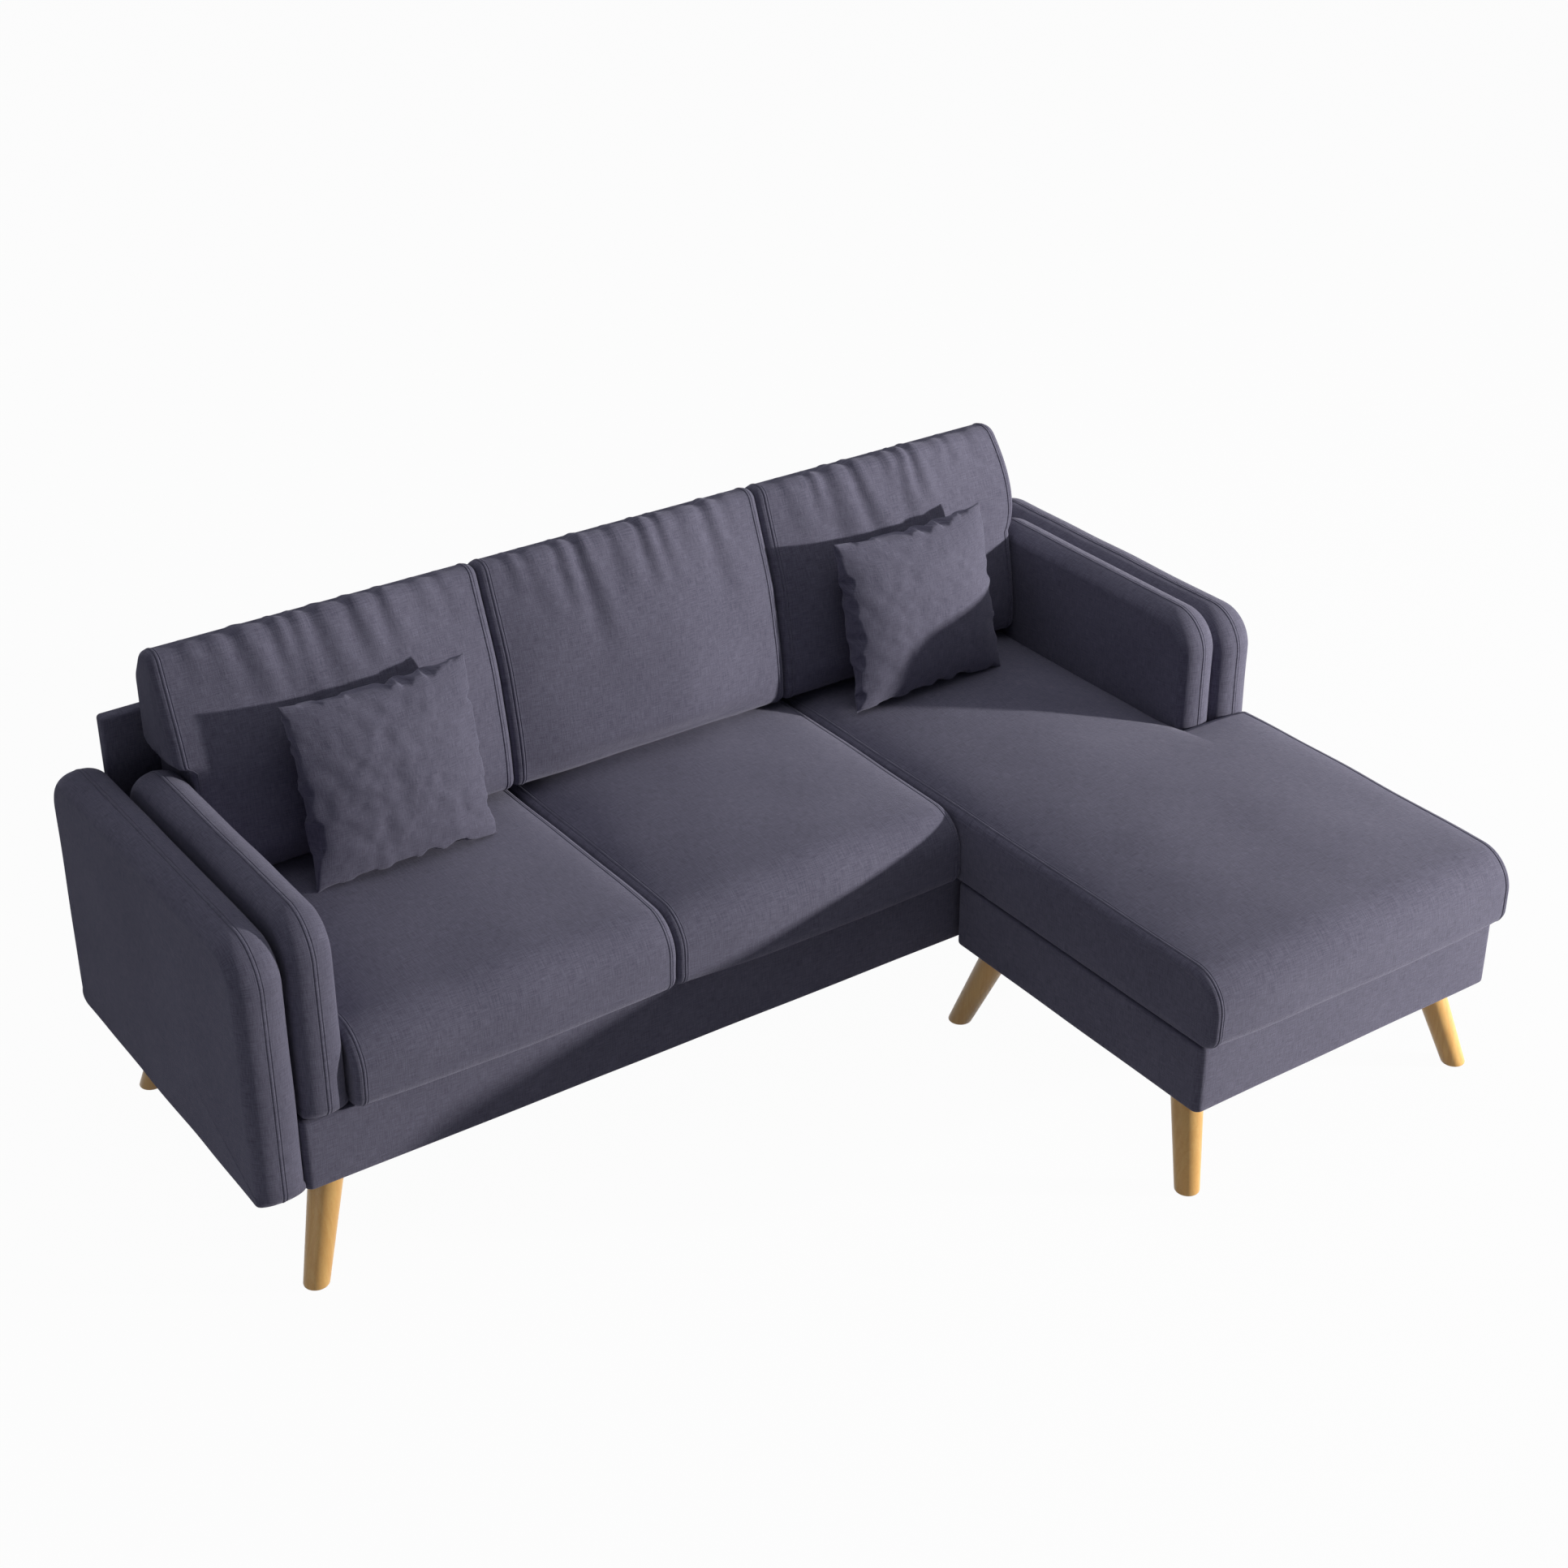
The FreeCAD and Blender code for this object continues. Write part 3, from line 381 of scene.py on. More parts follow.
def mesh_piece(name: str, vertices: np.ndarray, faces: list[tuple[int, ...]],
               cloth: Optional[list[tuple[float, float]]] = None) -> bpy.types.Object:
    """Make a smooth mesh object whose faces point outwards.

    Args:
        name: Name of the piece.
        vertices: Its points in metres.
        faces: Its faces.
        cloth: Place on the cloth of each corner of each face.

    Returns:
        The new object, linked to the scene.
    """
    mesh = bpy.data.meshes.new(name)
    mesh.from_pydata([tuple(point) for point in vertices], [], faces)
    if cloth is not None:
        layer = mesh.uv_layers.new(name="cloth")
        layer.data.foreach_set("uv", np.array(cloth, dtype=np.float32).ravel())
    draft = bmesh.new()
    draft.from_mesh(mesh)
    bmesh.ops.recalc_face_normals(draft, faces=draft.faces)
    if draft.calc_volume(signed=True) < 0:
        bmesh.ops.reverse_faces(draft, faces=draft.faces)
    draft.to_mesh(mesh)
    draft.free()
    mesh.polygons.foreach_set("use_smooth", [True] * len(mesh.polygons))
    return new_object(name, mesh)


def ripple(points: np.ndarray, size: float, seed: float) -> np.ndarray:
    """Give slow, even noise at points in space.

    Args:
        points: Array whose last axis is X, Y, Z.
        size: Size of one ripple.
        seed: Offset that makes one piece differ from the next.

    Returns:
        Values from about -1 to 1.
    """
    flat = points.reshape(-1, 3) / size + seed
    values = np.array([noise.noise(Vector(point)) for point in flat])
    return values.reshape(points.shape[:-1]) * 2


# Finishes


class Graph:
    """A short way to add and join the nodes of one tree."""

    def __init__(self, tree: bpy.types.NodeTree) -> None:
        """Start on a tree."""
        self.tree = tree

    def add(self, kind: str, inputs: Optional[dict] = None, **settings) -> bpy.types.Node:
        """Add a node.

        Args:
            kind: Type name of the node.
            inputs: Values or sockets for its inputs, by name or number.
            **settings: Properties of the node.

        Returns:
            The node.
        """
        node = self.tree.nodes.new(kind)
        for key, value in settings.items():
            setattr(node, key, value)
        for key, value in (inputs or {}).items():
            if isinstance(value, bpy.types.NodeSocket):
                self.tree.links.new(value, node.inputs[key])
            else:
                node.inputs[key].default_value = value
        return node

    def math(self, operation: str, first, second=0.0, clamp: bool = False) -> bpy.types.NodeSocket:
        """Combine two numbers or sockets and give the result's socket."""
        node = self.add("ShaderNodeMath", {0: first, 1: second}, operation=operation, use_clamp=clamp)
        return node.outputs[0]

    def blend(self, share, first, second) -> bpy.types.NodeSocket:
        """Mix two colours or sockets by a share and give the result's socket."""
        node = self.add("ShaderNodeMix", {"Factor": share, 6: first, 7: second}, data_type="RGBA")
        return node.outputs[2]

    def span(self, value, low: float, high: float, to_low: float, to_high: float) -> bpy.types.NodeSocket:
        """Map one range of a value to another and give the result's socket."""
        node = self.add("ShaderNodeMapRange", {"Value": value, "From Min": low, "From Max": high,
                                               "To Min": to_low, "To Max": to_high})
        return node.outputs["Result"]


def new_group(name: str, numbers: dict[str, float]) -> tuple[Graph, dict]:
    """Start a pattern group: it takes a place, two colours and numbers, and gives what a shader needs.

    Args:
        name: Name of the group.
        numbers: Default of each number that it takes.

    Returns:
        The graph and the sockets that come in.
    """
    tree = bpy.data.node_groups.new(name, "ShaderNodeTree")
    tree.interface.new_socket("Place", in_out="INPUT", socket_type="NodeSocketVector")
    for label in ("Dark", "Light"):
        tree.interface.new_socket(label, in_out="INPUT", socket_type="NodeSocketColor")
    for label, default in numbers.items():
        socket = tree.interface.new_socket(label, in_out="INPUT", socket_type="NodeSocketFloat")
        socket.default_value = default
    for label, kind in (("Color", "Color"), ("Roughness", "Float"), ("Normal", "Vector")):
        tree.interface.new_socket(label, in_out="OUTPUT", socket_type="NodeSocket" + kind)
    graph = Graph(tree)
    return graph, dict(graph.add("NodeGroupInput").outputs.items())


def end_group(graph: Graph, given: dict, share: bpy.types.NodeSocket, roughness: bpy.types.NodeSocket,
              height: bpy.types.NodeSocket, depth: float) -> bpy.types.NodeTree:
    """Lead colour, roughness and normal out of a pattern group.

    Args:
        graph: The group's graph.
        given: The sockets that come in.
        share: Share of the light colour.
        roughness: Roughness of the surface.
        height: Height of the relief, 0 to about 1.
        depth: Depth of the relief in metres.

    Returns:
        The node group.
    """
    bump = graph.add("ShaderNodeBump", {"Strength": given["Relief"], "Distance": depth, "Height": height})
    graph.add("NodeGroupOutput", {"Color": graph.blend(share, given["Dark"], given["Light"]),
                                  "Roughness": roughness, "Normal": bump.outputs[0]})
    return graph.tree


def weave_group() -> bpy.types.NodeTree:
    """Make the plain linen weave: crossing threads, slubs and colour drift over a cloth map in metres.

    Returns:
        The node group.
    """
    graph, given = new_group("linen weave", {"Thread": 1.1 * MM, "Relief": 0.45})
    apart = graph.add("ShaderNodeSeparateXYZ", {0: given["Place"]})
    threads, slubs = [], []
    for own in (0, 1):
        count = graph.math("DIVIDE", apart.outputs[own], given["Thread"])
        wobble = graph.add("ShaderNodeTexNoise", {"Vector": given["Place"], "Scale": 55.0, "Detail": 2.0})
        shifted = graph.math("ADD", count, graph.math("MULTIPLY", wobble.outputs["Fac"], 2.2))
        threads.append(graph.math("ABSOLUTE", graph.math("SINE", graph.math("MULTIPLY", shifted, math.pi))))
        stretch = (760.0, 46.0, 1.0) if own == 0 else (46.0, 760.0, 1.0)
        scaled = graph.add("ShaderNodeVectorMath", {0: given["Place"], 1: stretch}, operation="MULTIPLY")
        slub = graph.add("ShaderNodeTexNoise", {"Vector": scaled.outputs[0], "Scale": 1.0, "Detail": 3.0,
                                                "Roughness": 0.62})
        slubs.append(slub.outputs["Fac"])
    height = graph.math("MAXIMUM", threads[0], threads[1])
    streak = graph.math("MULTIPLY", graph.math("ADD", slubs[0], slubs[1]), 0.5)
    streak = graph.span(streak, 0.36, 0.64, 0.0, 1.0)
    patch = graph.add("ShaderNodeTexNoise", {"Vector": given["Place"], "Scale": 7.0, "Detail": 4.0})
    drift = graph.span(patch.outputs["Fac"], 0.3, 0.7, -0.08, 0.08)
    mix = graph.math("ADD", graph.math("MULTIPLY", streak, 0.72), graph.math("MULTIPLY", height, 0.24))
    mix = graph.math("ADD", mix, drift, clamp=True)
    relief = graph.math("ADD", height, graph.math("MULTIPLY", streak, 0.9))
    return end_group(graph, given, mix, graph.span(mix, 0, 1, 0.9, 0.74), relief, 0.6 * MM)


def grain_group() -> bpy.types.NodeTree:
    """Make wood grain that runs up an object: rings, fine fibres and pores.

    Returns:
        The node group.
    """
    graph, given = new_group("wood grain", {"Stretch": 0.06, "Relief": 0.2})
    apart = graph.add("ShaderNodeSeparateXYZ", {0: given["Place"]})
    tall = graph.math("MULTIPLY", apart.outputs[2], given["Stretch"])
    drawn = graph.add("ShaderNodeCombineXYZ", {0: apart.outputs[0], 1: apart.outputs[1], 2: tall})
    rings = graph.add("ShaderNodeTexNoise", {"Vector": drawn.outputs[0], "Scale": 42.0, "Detail": 3.0,
                                             "Distortion": 0.6})
    bands = graph.math("SINE", graph.math("MULTIPLY", rings.outputs["Fac"], 34.0))
    fibres = graph.add("ShaderNodeTexNoise", {"Vector": drawn.outputs[0], "Scale": 720.0, "Detail": 3.0})
    pores = graph.span(fibres.outputs["Fac"], 0.56, 0.66, 0.0, 1.0)
    fine = graph.span(fibres.outputs["Fac"], 0.3, 0.7, -0.2, 0.2)
    share = graph.math("ADD", graph.span(bands, -1, 1, 0.3, 0.62), fine)
    share = graph.math("SUBTRACT", share, graph.math("MULTIPLY", pores, 0.1), clamp=True)
    relief = graph.math("SUBTRACT", 1.0, pores)
    return end_group(graph, given, share, graph.span(pores, 0, 1, 0.34, 0.5), relief, 0.3 * MM)


def speckle_group() -> bpy.types.NodeTree:
    """Make fine mottling for foam, spun cloth and metal.

    Returns:
        The node group.
    """
    graph, given = new_group("speckle", {"Fineness": 300.0, "Smooth": 0.5, "Relief": 0.2})
    grains = graph.add("ShaderNodeTexNoise", {"Vector": given["Place"], "Scale": given["Fineness"],
                                              "Detail": 4.0})
    clouds = graph.add("ShaderNodeTexNoise", {"Vector": given["Place"], "Scale": 14.0, "Detail": 3.0})
    share = graph.math("MULTIPLY", graph.math("ADD", grains.outputs["Fac"], clouds.outputs["Fac"]), 0.5)
    share = graph.span(share, 0.35, 0.65, 0.0, 1.0)
    roughness = graph.math("ADD", given["Smooth"], graph.span(share, 0, 1, -0.06, 0.06))
    return end_group(graph, given, share, roughness, grains.outputs["Fac"], 0.5 * MM)


class Pattern(Enum):
    """Which group a finish draws its colour, roughness and normal from."""

    WEAVE = "linen weave"
    GRAIN = "wood grain"
    SPECKLE = "speckle"


@dataclass(frozen=True)
class Finish:
    """One finish: the pattern it uses and the values of its shader."""

    name: str
    pattern: Pattern
    dark: tuple[float, float, float]
    light: tuple[float, float, float]
    settings: dict[str, float] = field(default_factory=dict)
    metallic: float = 0.0
    sheen: float = 0.0
    coat: float = 0.0
    on_map: bool = False

    def make(self, groups: dict[Pattern, bpy.types.NodeTree]) -> bpy.types.Material:
        """Build the material.

        Args:
            groups: The pattern groups.

        Returns:
            The material.
        """
        material = bpy.data.materials.new(self.name)
        material.use_nodes = True
        material.diffuse_color = (*self.light, 1)
        tree = material.node_tree
        tree.nodes.clear()
        graph = Graph(tree)
        if self.on_map:
            place = graph.add("ShaderNodeUVMap", uv_map="cloth").outputs[0]
        else:
            place = graph.add("ShaderNodeTexCoord").outputs["Object"]
        pattern = graph.add("ShaderNodeGroup", node_tree=groups[self.pattern])
        tree.links.new(place, pattern.inputs["Place"])
        for key, value in {"Dark": (*self.dark, 1), "Light": (*self.light, 1), **self.settings}.items():
            pattern.inputs[key].default_value = value
        shader = graph.add("ShaderNodeBsdfPrincipled", {
            "Base Color": pattern.outputs["Color"], "Roughness": pattern.outputs["Roughness"],
            "Normal": pattern.outputs["Normal"], "Metallic": self.metallic, "Sheen Weight": self.sheen,
            "Sheen Roughness": 0.45, "Sheen Tint": (0.78, 0.76, 0.92, 1), "Coat Weight": self.coat,
            "Coat Roughness": 0.25, "Specular IOR Level": 0.08 if self.sheen else 0.5})
        output = graph.add("ShaderNodeOutputMaterial")
        tree.links.new(shader.outputs[0], output.inputs[0])
        return material


LINEN = (0.080, 0.076, 0.115), (0.215, 0.206, 0.275)
FINISHES = [
    Finish("upholstery", Pattern.WEAVE, *LINEN, sheen=0.35, on_map=True),
    Finish("upholstery_inside", Pattern.WEAVE, *LINEN),
    Finish("thread", Pattern.SPECKLE, (0.07, 0.068, 0.1), (0.2, 0.195, 0.25),
           {"Smooth": 0.6, "Fineness": 900.0}, sheen=0.2),
    Finish("padding", Pattern.SPECKLE, (0.7, 0.66, 0.5), (0.9, 0.87, 0.76),
           {"Smooth": 0.9, "Fineness": 260.0}),
    Finish("webbing", Pattern.WEAVE, (0.05, 0.04, 0.035), (0.36, 0.3, 0.24),
           {"Thread": 2 * MM, "Relief": 0.8}),
    Finish("dust_cloth", Pattern.SPECKLE, (0.015, 0.015, 0.018), (0.05, 0.05, 0.055), {"Smooth": 0.92}),
    Finish("leg_wood", Pattern.GRAIN, (0.84, 0.43, 0.115), (1.0, 0.63, 0.22),
           {"Stretch": 0.05, "Relief": 0.15}, coat=0.04),
    Finish("frame_wood", Pattern.GRAIN, (0.42, 0.27, 0.14), (0.72, 0.54, 0.34),
           {"Stretch": 1.0, "Relief": 0.5}),
    Finish("plywood", Pattern.GRAIN, (0.46, 0.32, 0.18), (0.76, 0.6, 0.4), {"Stretch": 6.0, "Relief": 0.3}),
    Finish("zinc_steel", Pattern.SPECKLE, (0.42, 0.43, 0.45), (0.68, 0.69, 0.71), {"Smooth": 0.35},
           metallic=1.0),
    Finish("spring_steel", Pattern.SPECKLE, (0.2, 0.2, 0.21), (0.4, 0.41, 0.43), {"Smooth": 0.4},
           metallic=1.0),
]


class Dresser:
    """Makes the finishes once and puts them on pieces and nodes."""

    def __init__(self) -> None:
        """Build every group and material."""
        groups = {Pattern.WEAVE: weave_group(), Pattern.GRAIN: grain_group(),
                  Pattern.SPECKLE: speckle_group()}
        self.materials = {finish.name: finish.make(groups) for finish in FINISHES}
        self.stitches = StitchTree()

    def dress_nodes(self) -> None:
        """Give every node of the frame the finish of its slot."""
        slots = {part["node"]: part["material_slot"] for part in frame["record"]["subparts"]}
        for name, node in frame["nodes"].items():
            finish = slots[name] if slots[name] != "upholstery" else "upholstery_inside"
            node.data.materials.clear()
            node.data.materials.append(self.materials[finish])

    def finish(self, piece: bpy.types.Object, finish: str, body: str, *nodes: str) -> bpy.types.Object:
        """Dress a piece, let it ride and hide the nodes that it stands for.

        Args:
            piece: The new piece.
            finish: Name of its finish.
            body: Body that it moves with.
            *nodes: Nodes that it replaces.

        Returns:
            The piece.
        """
        if not piece.data.materials:
            piece.data.materials.append(self.materials[finish])
        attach(piece, body)
        if nodes:
            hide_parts(*nodes)
        LOG.info("%s: %d faces", piece.name, len(piece.data.polygons))
        return piece

    def sew(self, name: str, body: str, paths: list[np.ndarray]) -> None:
        """Lay rows of stitches that run right round a piece.

        Args:
            name: Name of the piece.
            body: Body that it moves with.
            paths: Points of each row.
        """
        self.finish(self.stitches.lay(name + "_stitches", paths, self.materials["thread"]), "thread", body)


class StitchTree:
    """Geometry nodes that lay short thread stitches along every path of a mesh."""

    def __init__(self) -> None:
        """Build the tree."""
        tree = bpy.data.node_groups.new("topstitch", "GeometryNodeTree")
        tree.interface.new_socket("Geometry", in_out="INPUT", socket_type="NodeSocketGeometry")
        for label, value in (("Pitch", 5.0 * MM), ("Stitch", 3.6 * MM), ("Thread", 0.42 * MM)):
            socket = tree.interface.new_socket(label, in_out="INPUT", socket_type="NodeSocketFloat")
            socket.default_value = value
        tree.interface.new_socket("Finish", in_out="INPUT", socket_type="NodeSocketMaterial")
        tree.interface.new_socket("Geometry", in_out="OUTPUT", socket_type="NodeSocketGeometry")
        graph = Graph(tree)
        given, result = graph.add("NodeGroupInput").outputs, graph.add("NodeGroupOutput").inputs
        curve = graph.add("GeometryNodeMeshToCurve", {"Mesh": given["Geometry"]})
        spaced = graph.add("GeometryNodeResampleCurve", {"Curve": curve.outputs[0], "Length": given["Pitch"]},
                           mode="LENGTH")
        stitch = graph.add("GeometryNodeMeshCylinder", {"Vertices": 5, "Radius": given["Thread"],
                                                        "Depth": given["Stitch"]})
        tangent = graph.add("GeometryNodeInputTangent")
        aligned = graph.add("FunctionNodeAlignRotationToVector", {"Vector": tangent.outputs[0]}, axis="Z")
        placed = graph.add("GeometryNodeInstanceOnPoints", {
            "Points": spaced.outputs[0], "Instance": stitch.outputs["Mesh"], "Rotation": aligned.outputs[0]})
        real = graph.add("GeometryNodeRealizeInstances", {0: placed.outputs[0]})
        dressed = graph.add("GeometryNodeSetMaterial", {"Geometry": real.outputs[0],
                                                        "Material": given["Finish"]})
        tree.links.new(dressed.outputs[0], result["Geometry"])
        self.tree = tree
        self.finish_input = next(item.identifier for item in tree.interface.items_tree
                                 if item.name == "Finish")

    def lay(self, name: str, paths: list[np.ndarray], thread: bpy.types.Material) -> bpy.types.Object:
        """Lay stitches along closed paths and make them a plain mesh.

        Args:
            name: Name of the piece.
            paths: Points of each row.
            thread: Finish of the thread.

        Returns:
            The stitches.
        """
        vertices: list[tuple[float, ...]] = []
        edges: list[tuple[int, int]] = []
        for path in paths:
            start, count = len(vertices), len(path)
            vertices += [tuple(point) for point in path]
            edges += [(start + step, start + (step + 1) % count) for step in range(count)]
        mesh = bpy.data.meshes.new(name + "_path")
        mesh.from_pydata(vertices, edges, [])
        guide = new_object(name + "_path", mesh)
        layer = guide.modifiers.new("topstitch", "NODES")
        layer.node_group = self.tree
        layer[self.finish_input] = thread
        graph = bpy.context.evaluated_depsgraph_get()
        result = bpy.data.meshes.new_from_object(guide.evaluated_get(graph), depsgraph=graph)
        bpy.data.objects.remove(guide)
        bpy.data.meshes.remove(mesh)
        return new_object(name, result)


# Upholstered frame


@dataclass
class ArmSlab:
    """One upholstered slab on edge: a rounded rim with a topstitched seam all round it, and two faces."""

    name: str
    side: int
    top_radius: float
    foot_radius: float
    nodes: tuple[str, ...]
    band: float = 37 * MM
    rim_draw: float = 26 * MM
    foot_share: float = 0.35
    top_inset: float = 5 * MM
    front_foot_radius: float = 24 * MM
    bulge: float = 5 * MM
    face_crown: float = 7 * MM
    seed: float = 0.0

    def build(self, dresser: Dresser) -> None:
        """Make the slab and its stitches."""
        low, high = node_box(self.nodes[0])
        top = high[2] - self.top_inset
        corners = [(low[1], low[2]), (high[1], low[2]), (high[1], top), (low[1], top)]
        radii = [self.front_foot_radius, self.foot_radius, self.top_radius, self.top_radius]
        bulge = self.bulge if "arm" in self.name else 0.0
        section = rim_section(high[0] - low[0] + bulge, self.band, self.rim_draw)
        seam = Seam(section_length(section) / 2)
        middle = (low[0] + high[0] + self.side * bulge) / 2
        form = Form(rounded_profile(corners, radii, 12 * MM), section, middle, seams=[seam],
                    pitch=5 * MM, crown=(self.face_crown, self.face_crown), face_steps=14,
                    foot_draw=self.foot_share)
        form.swell(ripple(form.rings(), 0.14, self.seed) * 0.7 * MM)
        form.sew()
        piece = form.build(self.name)
        dresser.finish(piece, "upholstery", "frame", *self.nodes)
        dresser.sew(self.name, "frame", form.stitch_paths([seam]))


@dataclass
class BaseBox:
    """The covered wall of a base: rounded upright corners, a soft lower hem and a flat deck."""

    name: str
    body: str
    nodes: tuple[str, str]
    corner: float = 14 * MM
    hem: float = 7 * MM
    drop: float = 5 * MM
    seed: float = 0.0

    def build(self, dresser: Dresser) -> None:
        """Make the box."""
        low, high = node_box(self.nodes[0])
        corners = [(low[0], low[1]), (high[0], low[1]), (high[0], high[1]), (low[0], high[1])]
        profile = rounded_profile(corners, [self.corner] * 4, 16 * MM)
        section = rim_section(high[2] - low[2] + self.drop, self.hem, self.hem)
        form = Form(profile, section, (low[2] + high[2] - self.drop) / 2, axis=Axis.Z, crown=(0.0, 0.0),
                    face_steps=6)
        form.swell(ripple(form.rings(), 0.2, self.seed) * 0.5 * MM)
        dresser.finish(form.build(self.name), "upholstery", self.body, *self.nodes)


@dataclass
class BackPanel:
    """The thin covered panel behind the cushions, with a corner seam at each end."""

    name: str = "back_panel"
    node: str = "back_cover"
    corner: float = 7 * MM
    rise: float = 8 * MM

    def build(self, dresser: Dresser) -> None:
        """Make the panel."""
        low, high = node_box(self.node)
        high[2] += self.rise
        corners = [(low[0], low[2]), (high[0], low[2]), (high[0], high[2]), (low[0], high[2])]
        profile = rounded_profile(corners, [self.corner] * 4, 16 * MM)
        section = rim_section(high[1] - low[1], 6 * MM, 5 * MM)
        form = Form(profile, section, (low[1] + high[1]) / 2, axis=Axis.Y, pitch=4 * MM,
                    crown=(1 * MM, 1 * MM), face_steps=8)
        form.swell(ripple(form.rings(), 0.2, 7.0) * 0.5 * MM)
        dresser.finish(form.build(self.name), "upholstery", "frame", self.node)


@dataclass
class Leg:
    """A turned, splayed, tapered leg with an eased foot."""

    node: str
    body: str
    sides: int = 48
    ease: float = 2.2 * MM

    def build(self, dresser: Dresser) -> None:
        """Make the leg along the line of its node."""
        points = read_points(frame["nodes"][self.node])
        low_z, high_z = points[:, 2].min(), points[:, 2].max()
        foot = points[points[:, 2] < low_z + 1 * MM]
        top = points[points[:, 2] > high_z - 1 * MM]
        centres = [(ring.min(axis=0) + ring.max(axis=0)) / 2 for ring in (foot, top)]
        radii = [(ring[:, 0].max() - ring[:, 0].min()) / 2 for ring in (foot, top)]
        angles = np.linspace(0, 2 * math.pi, self.sides, endpoint=False)
        circle = np.stack([np.cos(angles), np.sin(angles), np.zeros(self.sides)], axis=1)
        rings = []
        levels = [(self.ease * (1 - math.cos(turn)), self.ease * (1 - math.sin(turn)))
                  for turn in np.linspace(0, math.pi / 2, 5)]
        levels += [(height, 0.0) for height in np.linspace(0.012, high_z - low_z, 14)]
        for height, inset in levels:
            share = height / (high_z - low_z)
            centre = centres[0] + (centres[1] - centres[0]) * share
            radius = radii[0] + (radii[1] - radii[0]) * share - inset
            ring = circle * radius + centre
            ring[:, 2] = low_z + height
            rings.append(ring)
        vertices = np.vstack(rings + [centres[0][None], centres[1][None]])
        faces = []
        for i in range(len(rings) - 1):
            for j in range(self.sides):
                k = (j + 1) % self.sides
                faces.append((i * self.sides + j, i * self.sides + k, (i + 1) * self.sides + k,
                              (i + 1) * self.sides + j))
        last = (len(rings) - 1) * self.sides
        for j in range(self.sides):
            k = (j + 1) % self.sides
            faces.append((k, j, len(vertices) - 2))
            faces.append((last + j, last + k, len(vertices) - 1))
        dresser.finish(mesh_piece(self.node + "_turned", vertices, faces), "leg_wood", self.body, self.node)


# Cushions


@dataclass(frozen=True)
class Roll:
    """How a cushion's face rises from its side edges: a broad crown and a rolled edge on each side."""

    crown: float
    left: float
    right: float
    left_reach: float
    right_reach: float

    def height(self, x: np.ndarray, low: np.ndarray, high: np.ndarray) -> np.ndarray:
        """Height above the side edges at places between low and high."""
        share = np.clip((2 * x - low - high) / (high - low), -1, 1)
        from_left, from_right = np.clip(x - low, 0, None), np.clip(high - x, 0, None)
        rise = self.left * (1 - np.exp(-from_left / self.left_reach))
        rise = rise * (1 - np.exp(-from_right / self.right_reach))
        sides = (self.right - self.left) * smooth_step(0.1, 0.9, share)
        return self.crown * (1 - share ** 2) + rise + sides * (1 - np.exp(-from_right / self.right_reach))


